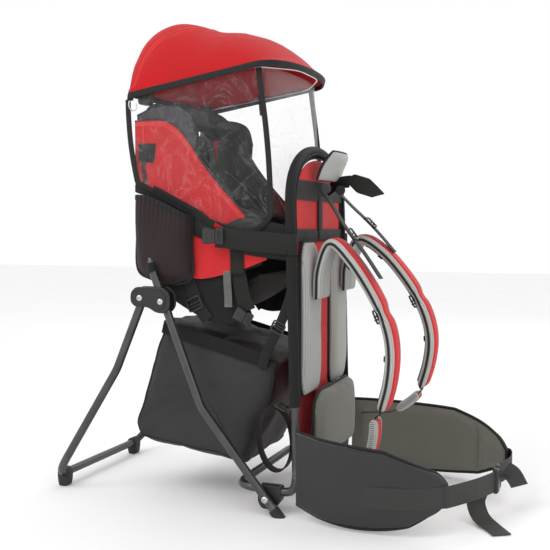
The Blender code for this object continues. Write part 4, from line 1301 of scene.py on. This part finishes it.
def make_harness():
    for side, sign in SIDES:
        points = [
            (-0.244, sign * 0.050, 0.700), (-0.236, sign * 0.050, 0.640), (-0.215, sign * 0.040, 0.560),
            (-0.196, sign * 0.022, 0.512)
        ]
        web = strap(f"harness_web_{side}", points, (0, 1, 0), WEB_25, REAR, 0.0010)
        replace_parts(web, f"harness_webbing_{side}")
        pad_path = evened(curved(points[:3], 6), 0.004)

        def surface(s, t, path=pad_path, sign=sign):
            p = at_share(path, 0.05 + 0.80 * t)
            return p + Vector((0.0055, s * 0.020, 0))

        pad = slab(
            f"harness_pad_{side}", surface, 30, 10, pillow(0.0046, 3, 8, 0.3), LINING, REAR, "black_fabric"
        )
        buckle_lock(
            f"harness_lock_{side}", (-0.2085, sign * 0.033, 0.545), (0.35, -sign * 0.25, -1),
            (0, 1, -sign * 0.25), 0.029, REAR
        )
    buckle = make_side_release(
        "harness_clip", Vector((-0.188, 0, 0.487)), Vector((0, 0, -1)), Vector((0, 1, 0)),
        Vector((1, 0, 0)), 0.046, 0.044, REAR
    )
    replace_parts(buckle[0], "harness_buckle")
    strap(
        "harness_crotch", [(-0.190, 0, 0.466), (-0.180, 0, 0.440), (-0.170, 0, 0.410), (-0.165, 0, 0.384)],
        (0, 1, 0), WEB_25, REAR
    )


def make_pocket(side, sign):
    top = [(-0.301, 0.585), (-0.270, 0.583), (-0.225, 0.566), (-0.184, 0.545)]
    low = [(-0.301, 0.448), (-0.270, 0.428), (-0.228, 0.420), (-0.186, 0.431)]
    mouth = evened(curved([(x, 0, z) for x, z in top], 8), 0.002)

    def belly(s, t):
        side_in = max(0.0, 1 - abs(s) ** 5) ** 0.6
        hang = 0.50 + 0.50 * math.sin(math.pi * min(1.0, 0.30 + t * 0.75))
        gathers = 0.0016 * (1 - t) ** 3 * math.sin(26 * math.pi * (s + 1) / 2)
        return 0.033 * side_in * hang * min(1.0, (1.02 - t) / 0.14) ** 0.6 + gathers

    bag = side_patch(
        f"pocket_bag_{side}", top, low, sign, 0.1530, POCKET_MESH, 0, 0.0018, 0.0005, 34, 60,
        "black_fabric", 9.0, belly
    )
    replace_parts(bag, f"mesh_pocket_{side}")
    strut = [p for p in rear_path() if p.y * sign > 0 and 0.412 < p.z < 0.515 and p.x < -0.2]
    strut = sorted(strut, key=lambda p: p.z)
    round_bar(f"strut_sleeve_{side}", evened(strut, 0.006), 0.0102, BLACK, REAR, "black_fabric", sides=18)
    hem = []
    for k in range(61):
        s = -1 + 2 * k / 60
        p = at_share(mouth, (s + 1) / 2)
        hem.append(Vector((p.x, sign * (0.1530 + belly(s, 0.0)), p.z)))
    elastic = sweep(
        f"pocket_elastic_{side}", evened(hem, 0.0035), (0, 0, 1), band(0.0050, 0.0016, 0.7), BINDING, REAR,
        "black_fabric"
    )
    rim = [Vector((x, sign * 0.1540, z)) for x, z in [top[0], (-0.3015, 0.52), *low, (-0.185, 0.49), top[-1]]]
    bound = sweep(
        f"pocket_binding_{side}", evened(curved(rim, 6), 0.006), (0, sign, 0), band(0.0022, 0.0024, 0.8),
        BINDING, REAR, "black_fabric"
    )
    lay(bag)
    squash_side(bag, elastic, bound)


# ---- back panel, pads and straps ---------------------------------------------------------------
PANEL_X = 0.0125
PAD_X = PANEL_X + 0.006


def flat_pad(name, outline_of, x, thick, mats, slot, rows=40, columns=24, crown=None, body=BACK):
    """A pad on the back panel. outline_of(t) gives (z, low y, high y)."""

    def surface(s, t):
        z, low, high = outline_of(t)
        return Vector((x + thick * 0.5, low + (high - low) * (s + 1) / 2, z))

    return slab(name, surface, rows, columns, crown or pillow(thick * 0.5, 4, 10, 0.25), mats, body, slot)


def table_of(rows):
    """Reads (z, low, high) rows as a smooth outline over t."""
    low = evened(curved([(z, a, 0) for z, a, _ in rows], 6), 0.002)
    high = evened(curved([(z, b, 0) for z, _, b in rows], 6), 0.002)

    def at(t):
        a, b = at_share(low, t), at_share(high, t)
        return (a.x + b.x) / 2, a.y, b.y

    return at


def pad_rim(outline, x, count):
    """Up the high side of an outline and back down its low side."""
    up, down = (
        [outline(k / count) for k in range(count + 1)], [outline(1 - k / count) for k in range(count + 1)]
    )
    return [Vector((x, high, z)) for z, _, high in up] + [Vector((x, low, z)) for z, low, _ in down]


def make_back_panel():
    rows = [
        (0.100, -0.128, 0.128), (0.150, -0.128, 0.128), (0.205, -0.129, 0.129), (0.240, -0.140, 0.140),
        (0.400, -0.140, 0.140), (0.560, -0.140, 0.140)
    ]
    rows += [(0.600, -0.128, 0.128), (0.630, -0.100, 0.100), (0.648, -0.065, 0.065), (0.657, -0.020, 0.020)]
    panel = flat_pad(
        "back_red_panel", table_of(rows), PANEL_X, 0.0050, CORAL, "red_fabric", 70, 36,
        pillow(0.0024, 16, 24, 0.4)
    )
    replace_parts(panel, "back_panel")
    sleeve = [p for p in arch_path() if p.z > 0.112]
    cover = round_bar("back_sleeve", evened(sleeve, 0.007), 0.0096, BLACK, BACK, "black_fabric", sides=22)
    lay_line = [Vector((p.x + 0.0085, p.y * 0.956, p.z - (0.006 if p.z > 0.6 else 0))) for p in sleeve]
    piping("back_sleeve_piping", lay_line, 0.0017, BACK)
    line = evened(sleeve, 0.004)

    def web_surface(s, t):
        p = at_share(line, t)
        drop = (0.010 + 0.006 * s) * max(0.0, (p.z - 0.60) / 0.08)
        return (
            Vector((0.0135 + 0.004 * s, 0, 0)) + Vector((p.x - 0.012, p.y * (0.93 - 0.035 * s), p.z - drop))
        )

    web = slab("back_sleeve_web", web_surface, 120, 4, 0.0007, BLACK, BACK, "black_fabric")
    lay(web)
    across = [(PANEL_X + 0.0068, y, 0.597) for y in (-0.146, -0.09, -0.03, 0.03, 0.09, 0.146)]
    strap("back_cross_web", across, (0, 0, 1), 0.0185, BACK, 0.0010)
    strap(
        "back_low_web", [(PANEL_X + 0.0068, y, 0.512) for y in (-0.140, -0.06, 0.06, 0.140)], (0, 0, 1),
        WEB_25, BACK, 0.0010
    )
    strap(
        "back_ladder_web",
        [(PANEL_X + 0.0080, 0, 0.590), (PANEL_X + 0.0084, 0, 0.54), (PANEL_X + 0.0084, 0, 0.505)],
        (0, 1, 0), WEB_25, BACK, 0.0010
    )


def make_headrest():
    path = evened(curved([(0.034, 0, 0.618), (0.044, 0, 0.645), (0.060, 0, 0.672)], 6), 0.002)

    def surface(s, t):
        p = at_share(path, t)
        return p + Vector((0.006 * (1 - s * s), s * (0.062 - 0.016 * t * t), 0))

    pad = slab(
        "headrest", surface, 30, 30, pillow(0.0105, 4, 4, 0.2), (GREY_MESH, BLACK), BACK, "grey_air_mesh",
        levels=1
    )
    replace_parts(pad, "headrest_pad")
    rim = [(-1 + k / 5, 0) for k in range(11)] + [(1, k / 8) for k in range(1, 9)]
    rim += [(1 - k / 5, 1) for k in range(1, 11)] + [(-1, 1 - k / 8) for k in range(1, 8)]
    piping("headrest_piping", [surface(s, t) for s, t in rim], 0.0022, BACK, gap=0.004, loop=True)


def make_back_pads():
    for side, sign in SIDES:
        rows = [
            (0.215, 0.046, 0.120), (0.235, 0.041, 0.131), (0.300, 0.040, 0.134), (0.400, 0.040, 0.134),
            (0.455, 0.042, 0.134), (0.482, 0.052, 0.130), (0.500, 0.070, 0.120)
        ]
        rows = [(z, *sorted((sign * a, sign * b))) for z, a, b in rows]
        outline = table_of(rows)
        pad = flat_pad(f"back_mesh_{side}", outline, PAD_X, 0.0195, GREY_MESH, "grey_air_mesh", 56, 20)
        inflate(pad, 0.003, 3.0)
        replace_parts(pad, f"back_pad_{side}")
        piping(f"back_mesh_piping_{side}", pad_rim(outline, PAD_X + 0.007, 40), 0.0026, BACK, loop=True)
    strip = flat_pad(
        "back_red_strip",
        table_of([(0.190, -0.036, 0.036), (0.320, -0.036, 0.036), (0.450, -0.036, 0.036)]), PAD_X, 0.0085,
        CORAL, "red_fabric", 40, 12
    )
    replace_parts(strip, "back_centre_strip")
    rows = [
        (0.090, -0.112, 0.112), (0.110, -0.125, 0.125), (0.185, -0.125, 0.125), (0.208, -0.114, 0.114),
        (0.222, -0.085, 0.085)
    ]
    outline = table_of(rows)
    lumbar = flat_pad("lumbar_mesh", outline, PAD_X + 0.0215, 0.0235, OLIVE_MESH, "olive_air_mesh", 36, 50)
    inflate(lumbar, 0.003, 3.0)
    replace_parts(lumbar, "lumbar_pad")
    piping("lumbar_piping", pad_rim(outline, PAD_X + 0.030, 30), 0.0028, BACK, "charcoal_fabric", loop=True)


NEAR_STRAP = [
    (0.052, -0.088, 0.395), (0.055, -0.088, 0.450), (0.076, -0.088, 0.498), (0.112, -0.088, 0.468),
    (0.153, -0.088, 0.408)
]
NEAR_STRAP += [(0.180, -0.088, 0.350), (0.189, -0.088, 0.300), (0.185, -0.088, 0.245), (0.172, -0.088, 0.193)]
FAR_STRAP = [
    (0.052, 0.088, 0.400), (0.056, 0.088, 0.455), (0.082, 0.088, 0.503), (0.130, 0.088, 0.478),
    (0.180, 0.090, 0.420)
]
FAR_STRAP += [(0.213, 0.090, 0.362), (0.226, 0.090, 0.310), (0.222, 0.090, 0.260), (0.208, 0.090, 0.210)]
STRAPS = (
    (
        "near", NEAR_STRAP, ((0.158, -0.092, 0.176), (0.150, -0.094, 0.112)),
        [(0.136, -0.100, 0.090), (0.112, -0.106, 0.082), (0.082, -0.110, 0.088)]
    ),
    (
        "far", FAR_STRAP, ((0.200, 0.094, 0.194), (0.158, 0.098, 0.160)),
        [(0.140, 0.099, 0.152), (0.112, 0.100, 0.150), (0.082, 0.102, 0.146)]
    ),
)
LIFTERS = (
    (
        "near",
        [
            (0.046, -0.052, 0.592), (0.066, -0.060, 0.566), (0.094, -0.074, 0.528), (0.132, -0.084, 0.482),
            (0.166, -0.088, 0.434)
        ]
    ),
    (
        "far",
        [
            (0.046, 0.060, 0.592), (0.066, 0.068, 0.570), (0.090, 0.080, 0.545), (0.118, 0.086, 0.515),
            (0.150, 0.088, 0.478)
        ]
    ),
)


def make_shoulder_strap(side, points, stub, tail):
    """A padded strap: red face between grey mesh edges, webbing down its middle, and a padded stub
    below.
    """
    path = evened(curved(points, 8), 0.004)
    outs = [Vector((-t.z, 0, t.x)) * -1 for t in directions(path)]

    def placed(half_w):
        def surface(s, t):
            k = round(t * (len(path) - 1))
            pinch = 1 - 0.14 * math.exp(-(((t - 0.60) / 0.03) ** 2))
            ends = min(1.0, (1.02 - t) / 0.05 + 0.35)
            return path[k] + Vector((0, s * half_w * pinch * ends, 0))

        return surface

    def crown(thick):
        def half(s, t):
            channel = 1 - 0.45 * math.exp(-((abs(s) - 0.60) / 0.07) ** 2)
            tight = 1 - 0.35 * math.exp(-(((t - 0.60) / 0.025) ** 2))
            return pillow(thick, 3, 30, 0.3)(s, t) * channel * tight

        return half

    def red_within(edge):
        return lambda s, t: [0, 2 if abs(s) < edge else 1]

    body = slab(
        f"strap_pad_{side}", placed(0.034), len(path) - 1, 28, crown(0.0108), (GREY_MESH, GREY_MESH, CORAL),
        BACK, "red_fabric", which=red_within(0.60), levels=1
    )
    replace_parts(body, f"shoulder_strap_{side}")
    for label, edge in (("out", 1), ("in", -1)):
        line = [placed(0.034)(edge, k / 60) for k in range(61)]
        piping(f"strap_piping_{label}_{side}", line, 0.0024, BACK)
    face = [path[k] + outs[k] * 0.0122 for k in range(round(len(path) * 0.26), len(path), 3)]
    strap(f"strap_web_{side}", face, (0, 1, 0), 0.0100, BACK, 0.0009)
    lock_at = round(len(path) * 0.60)
    lock = buckle_lock(
        f"strap_lock_{side}_plate", path[lock_at] + outs[lock_at] * 0.0150, directions(path)[lock_at],
        (0, 1, 0), 0.030, BACK
    )
    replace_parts(lock[0], f"strap_lock_{side}")
    for label, share in (("high", 0.36), ("low", 0.78)):
        k = round(len(path) * share)
        loop = [path[k] + outs[k] * 0.0137 + directions(path)[k] * d for d in (-0.005, 0.005)]
        strap(f"strap_keeper_{label}_{side}", loop, (0, 1, 0), 0.0145, BACK, 0.0010, gap=0.002)
    top, low = Vector(stub[0]), Vector(stub[1])
    start = path[-1]
    strap(
        f"strap_low_web_{side}",
        [
            start, start.lerp(top, 0.6) + Vector((0.002, 0, 0)), top,
            top.lerp(low, 0.5) + Vector((0.0105, 0, 0)), low
        ], (0, 1, 0), WEB_25, BACK
    )

    def stub_surface(s, t):
        return top.lerp(low, t) + Vector((0.003 * math.sin(math.pi * t), s * 0.024, 0))

    pad = slab(
        f"strap_stub_{side}", stub_surface, 20, 20, pillow(0.0088, 4, 6, 0.3),
        (GREY_MESH, GREY_MESH, CORAL), BACK, "red_fabric", which=red_within(0.55), levels=1
    )
    strap(f"strap_tail_web_{side}", [low, *(Vector(p) for p in tail)], (0, 1, 0), WEB_25, BACK)


def make_straps():
    for side, points, stub, tail in STRAPS:
        make_shoulder_strap(side, points, stub, tail)
    for side, points in LIFTERS:
        web = strap(f"lifter_{side}", points, (0, 1, 0), WEB_25, BACK, 0.0010)
        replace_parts(web, f"load_lifter_{side}")
        at = Vector(points[2]).lerp(Vector(points[3]), 0.3)
        along = Vector(points[3]) - Vector(points[2])
        buckle_lock(f"lifter_lock_{side}", at + Vector((0.003, 0, 0.002)), along, (0, 1, 0), 0.030, BACK)
    flap = [(0.074, 0.010, 0.618), (0.100, 0.004, 0.610), (0.126, -0.002, 0.602), (0.150, -0.006, 0.592)]
    path = evened(curved(flap, 6), 0.004)

    def flap_surface(s, t):
        p = at_share(path, t)
        wide = 0.020 * min(1.0, 0.35 + 3 * t, (1.02 - t) * 2.6)
        return p + Vector((-0.2, 0.35, 0.9)).normalized() * s * wide

    strap(
        "lifter_flap_web",
        [(0.0205, 0.040, 0.599), (0.034, 0.030, 0.606), (0.055, 0.018, 0.615), (0.078, 0.009, 0.617)],
        (-0.2, 0.35, 0.9), WEB_25, BACK
    )
    leaf = slab("lifter_flap", flap_surface, 20, 8, 0.0009, WEBBING, BACK, "black_webbing")
    lay(leaf)
    for y in (-0.090, 0.004):
        snap(
            f"lifter_disc_{'near' if y < 0 else 'mid'}", 0, 0, 0, 1, BACK
        ).location = (PANEL_X + OX + 0.0105, y, 0.600)


# ---- hip belt ----------------------------------------------------------------------------------
NEAR_WING = [
    (0.036, -0.177), (0.088, -0.199), (0.150, -0.209), (0.215, -0.208), (0.265, -0.192), (0.302, -0.160)
]
FAR_WING = [(0.036, 0.177), (0.092, 0.198), (0.160, 0.2085), (0.235, 0.2085), (0.310, 0.184), (0.370, 0.120)]


def make_hip_belt():
    for side, plan in (("near", NEAR_WING), ("far", FAR_WING)):
        path = evened(curved([(x, y, 0) for x, y in plan], 8), 0.004)

        def surface(s, t, path=path):
            low = 0.026 - 0.018 * math.sin(math.pi * min(1.15 * t, 1)) + 0.022 * max(0, t - 0.75) / 0.25
            high = 0.158 - 0.022 * t - 0.036 * max(0, t - 0.6) / 0.4
            if t > 0.9:
                low, high = low + 0.010 * ((t - 0.9) / 0.1) ** 2, high - 0.014 * ((t - 0.9) / 0.1) ** 2
            p = at_share(path, t)
            return Vector((p.x, p.y, low + (high - low) * (s + 1) / 2))

        mats = (OLIVE_MESH, CHARCOAL) if side == "near" else (CHARCOAL, OLIVE_MESH)
        wing = slab(
            f"belt_wing_{side}", surface, 64, 24, pillow(0.0086, 5, 12, 0.3), mats, BACK, "charcoal_fabric"
        )
        inflate(wing, 0.003, 3.0)
        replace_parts(wing, f"hip_belt_{side}")
        rim = (
            [surface(1, k / 60) for k in range(61)] + [surface(1 - k / 6, 1) for k in range(1, 12)]
            + [surface(-1, 1 - k / 60) for k in range(61)]
        )
        piping(f"belt_binding_{side}", rim, 0.0030, BACK, sides=10)


def make_hip_webbing():
    """The belt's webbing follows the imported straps, with their sharp edges softened."""
    bodies = {"hip_webbing_near": BACK, "hip_webbing_far": None, "hip_tail_near": BACK, "hip_tail_far": MALE}
    for name, body in bodies.items():
        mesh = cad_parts[name].data.copy()
        mesh.name = f"belt_{name}"
        mesh.materials.clear()
        mesh.materials.append(WEBBING_PLAIN)
        web = bpy.data.objects.new(f"belt_{name[4:]}", mesh)
        bpy.context.scene.collection.objects.link(web)
        mesh.shade_smooth()
        mesh.set_sharp_from_angle(angle=0.7)
        edge = web.modifiers.new("edge", "BEVEL")
        edge.width, edge.segments = 0.0005, 2
        edge.limit_method, edge.angle_limit = "ANGLE", 0.7
        if body:
            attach(web, body)
        else:
            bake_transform(web)
        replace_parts(web, name)


def make_plain_webbing():
    """Webbing weave for straps that run level, placed by where each point lies."""
    mat, tree, shader = shader_of("black_webbing_level", (0.026, 0.026, 0.025), 0.62)
    place = tree.nodes.new("ShaderNodeSeparateXYZ")
    tree.links.new(node(tree, "TexCoord", out=3), place.inputs[0])
    ribs = calc(tree, "ABSOLUTE", waves(tree, place.outputs[2], 0.0021))
    run = calc(tree, "ADD", place.outputs[0], place.outputs[1])
    picks = calc(tree, "ABSOLUTE", waves(tree, run, 0.0016))
    weave = calc(tree, "MULTIPLY_ADD", ribs, 0.65, calc(tree, "MULTIPLY", picks, 0.35))
    # painted shade: the weave colour is darker in the grooves between ribs and picks, following the bump
    # height
    tree.links.new(
        node(tree, "MixRGB", (weave, (0.008, 0.008, 0.008, 1), (0.030, 0.030, 0.028, 1))),
        shader.inputs["Base Color"]
    )
    tree.links.new(
        node(tree, "Bump", {"Strength": 0.6, "Distance": 0.0006, "Height": weave}), shader.inputs["Normal"]
    )
    return mat


WEBBING_PLAIN = make_plain_webbing()


def make_hip_buckle():
    low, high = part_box("hip_buckle_female")
    male_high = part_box("hip_buckle_male")[1]
    x, z = (low.x + high.x) / 2 - OX, (low.z + high.z) / 2

    def half(name, places, body):
        rings = []
        for y, w, t in places:
            rings.append([Vector((x + b * t, y, z + a * w)) for a, b in chamfered(0.88)])
        points, faces = rings_to_mesh(rings, False)
        return piece(name, points, faces, PLASTIC, body, "black_plastic", sharp=0.5)

    w = (high.z - low.z) / 2
    female = half(
        "belt_buckle_socket",
        [
            (low.y, w * 0.90, 0.0032), (low.y + 0.002, w, 0.0052), (low.y + 0.012, w, 0.0060),
            (high.y - 0.010, w * 0.88, 0.0060), (high.y - 0.001, w * 0.82, 0.0054),
            (high.y, w * 0.78, 0.0040)
        ], BACK
    )
    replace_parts(female, "hip_buckle_female")
    y0, y1 = high.y + 0.0006, male_high.y
    male = half(
        "belt_buckle_prong",
        [
            (y0, w * 0.70, 0.0034), (y0 + 0.002, w * 0.94, 0.0044), (y0 + 0.006, w, 0.0052),
            (y1 - 0.004, w, 0.0044), (y1, w * 0.92, 0.0030)
        ], MALE
    )
    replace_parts(male, "hip_buckle_male")
    for k in range(3):
        y = y0 + 0.006 + 0.0032 * k
        round_bar(
            f"belt_buckle_rib{k}",
            [Vector((x + 0.0052 - 0.0003 * k, y, z + w * a)) for a in (-0.8, -0.3, 0.3, 0.8)], 0.0008,
            PLASTIC, MALE, "black_plastic", sides=8
        )


# ---- storage bag and stirrups ------------------------------------------------------------------
BAG = [(-0.338, 0.134), (-0.330, 0.112), (-0.304, 0.100), (-0.112, 0.074), (-0.092, 0.084), (-0.034, 0.196)]
BAG += [(-0.022, 0.268), (-0.034, 0.284), (-0.250, 0.342), (-0.272, 0.332)]


def make_bag():
    """A sagging shell: each ring is the bag's outline, drawn in and softened towards the two sides."""
    outline = evened(curved([(x, 0, z) for x, z in BAG] + [(BAG[0][0], 0, BAG[0][1])], 6), 0.009)[:-1]
    centre = Vector((-0.175, 0, 0.205))
    rings, strips = [], []
    stations = [
        (-0.1235, 0.20), (-0.1238, 0.55), (-0.1236, 0.80), (-0.1225, 0.93), (-0.1195, 0.975),
        (-0.113, 0.995)
    ]
    stations += (
        [(-0.113 + 0.226 * k / 22, 1.0) for k in range(1, 22)] + [(-y, s) for y, s in reversed(stations)]
    )
    for y, scale in stations:
        ring, run = [], 0.0
        for i, p in enumerate(outline):
            q = centre + (p - centre) * scale
            run += (p - outline[i - 1]).length if i else 0
            sag = 0.004 * scale * wobble((q.x * 1.2, y, q.z * 0.35), 13.0, 4.0)
            away = (q - centre).normalized()
            top = max(0.0, (q.z - 0.27) / 0.06)
            ring.append(
                Vector(
                    (
                        q.x + away.x * (sag - 0.003), y * (1 - 0.012 * top),
                        q.z + away.z * (sag - 0.003) - 0.004 * top * math.cos(math.pi * y / 0.25)
                    )
                )
            )
            side = abs(y) > 0.12
            strips.append((q.x if side else y, q.z if side else run, 0))
        rings.append(ring)
    for ring, (y, scale) in zip(rings, stations):
        if abs(y) > 0.119:
            for p in ring:
                p.y += (
                    math.copysign(0.0022, y) * 0.4 * wobble(
                        (p.x * 2.2, 0, p.z * 0.5), 10.0, math.copysign(2.0, y)
                    ) - math.copysign(0.0014, y)
                )
    points, faces = rings_to_mesh(rings, False)
    bag = piece("bag_shell", points, faces, CHARCOAL, REAR, "charcoal_fabric", strips, levels=1)
    inflate(bag, 0.006, 1.2)
    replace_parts(bag, "storage_bag")
    extras = []
    skin = BVHTree.FromObject(bag, bpy.context.evaluated_depsgraph_get())
    shift = Vector((OX, 0, 0))
    for side, sign in SIDES:
        rim = [Vector((p.x, sign * 0.1196, p.z)) for p in rings[4 if sign < 0 else -5]]
        rim = [skin.find_nearest(p + shift)[0] - shift for p in rim]
        extras.append(
            round_bar(f"bag_piping_{side}", rim, 0.0021, BINDING, REAR, "black_fabric", sides=8, loop=True)
        )
        flap = on_side([(-0.262, 0.334), (-0.200, 0.318), (-0.120, 0.297), (-0.042, 0.276)], sign, 0.1262)
        extras.append(
            strap(f"bag_flap_{side}", flap, (0.1, 0, 1), 0.0130, REAR, 0.0008, BLACK, "black_fabric")
        )
        riser = [(-0.052, 0.1275, 0.262), (-0.045, 0.131, 0.288), (-0.024, 0.138, 0.325)]
        riser += [(-0.012, 0.144, 0.345), (0.006, 0.1485, 0.385), (0.0165, 0.1495, 0.420)]
        riser = [(x, sign * y, z) for x, y, z in riser]
        extras.append(strap(f"bag_riser_{side}", riser, (0.9, 0, -0.4), 0.0095, REAR))
        extras += buckle_lock(
            f"bag_lock_{side}", (-0.014, sign * 0.1455, 0.343), (0.45, 0, 0.9), (0.9, 0, -0.45), 0.024, REAR
        )
    squash_side(bag, *extras)


def make_stirrups():
    for side, sign in SIDES:
        ring = []
        for angle in around(48):
            ring.append(
                Vector(
                    (
                        -0.0182 + 0.0332 * math.cos(angle) - 0.004 * math.sin(angle), sign * 0.1475,
                        0.137 + 0.0605 * math.sin(angle)
                    )
                )
            )
        loop = sweep(
            f"foot_ring_{side}", ring, (0, 1, 0), band(WEB_25, 0.0012), WEBBING, REAR, "black_webbing",
            loop=True
        )
        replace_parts(loop, f"stirrup_{side}")
        lock = buckle_lock(
            f"foot_ring_lock_{side}", (-0.004, sign * 0.1480, 0.1965), (-1, 0, 0.5), (0, 1, 0), 0.029, REAR
        )
        squash_side(loop, *lock)


for make in (
    make_frame, make_hood, make_shield, make_collar, make_seat_lining, make_harness, make_back_panel,
    make_headrest
):
    make()
for make in (
    make_back_pads, make_straps, make_hip_belt, make_hip_webbing, make_hip_buckle, make_bag, make_stirrups
):
    make()
for side, sign in SIDES:
    make_seat_side(side, sign)
    make_pocket(side, sign)


# ---- floor, light and camera -------------------------------------------------------------------
CAMERA_PLACE = (0.568, -1.691, 0.527)
CAMERA_TILT, CAMERA_TURN = 86.99, 20.82
CAMERA_LENS = 58.9


def make_stage():
    mat, tree, shader = shader_of("pale_floor", (0.93, 0.93, 0.93), 0.85)
    place = node(tree, "TexCoord", out=3)
    grain = node(tree, "TexNoise", {"Vector": place, "Scale": 3.0, "Detail": 4.0})
    tone = node(tree, "MapRange", (grain, 0.3, 0.7, 0.975, 1.0))
    tree.links.new(
        node(tree, "MixRGB", (1.0, (0.93, 0.93, 0.93, 1), tone), blend_type="MULTIPLY"),
        shader.inputs["Base Color"]
    )
    mesh = bpy.data.meshes.new("floor")
    mesh.from_pydata([(-9, -9, 0), (9, -9, 0), (9, 9, 0), (-9, 9, 0)], [], [(0, 1, 2, 3)])
    mesh.materials.append(mat)
    floor = bpy.data.objects.new("floor", mesh)
    bpy.context.scene.collection.objects.link(floor)


def area_light(name, place, aim, size, power):
    lamp = bpy.data.lights.new(name, "AREA")
    lamp.shape = "DISK"
    lamp.size = size
    lamp.energy = power
    obj = bpy.data.objects.new(name, lamp)
    obj.location = place
    obj.rotation_euler = (Vector(aim) - Vector(place)).to_track_quat("-Z", "Y").to_euler()
    bpy.context.scene.collection.objects.link(obj)


def make_light_and_camera():
    world = bpy.data.worlds.new("white_room")
    world.use_nodes = True
    world.node_tree.nodes["Background"].inputs[0].default_value = (1.0, 1.0, 1.0, 1.0)
    world.node_tree.nodes["Background"].inputs[1].default_value = 1.0
    scene = bpy.context.scene
    scene.world = world
    scene.view_settings.view_transform = "Standard"
    middle = (0.0, 0.0, 0.45)
    area_light("key", (-1.6, -2.2, 2.6), middle, 1.6, 30)
    area_light("fill", (2.6, -1.6, 1.4), middle, 1.8, 10)
    area_light("rim", (0.6, 2.4, 2.2), middle, 1.6, 12)
    camera = bpy.data.cameras.new("camera")
    camera.lens = CAMERA_LENS
    camera.sensor_width = 36
    view = bpy.data.objects.new("camera", camera)
    view.location = Vector(CAMERA_PLACE) + Vector((OX, 0, 0))
    view.rotation_euler = (math.radians(CAMERA_TILT), 0, math.radians(CAMERA_TURN))
    scene.collection.objects.link(view)
    scene.camera = view


make_stage()
make_light_and_camera()
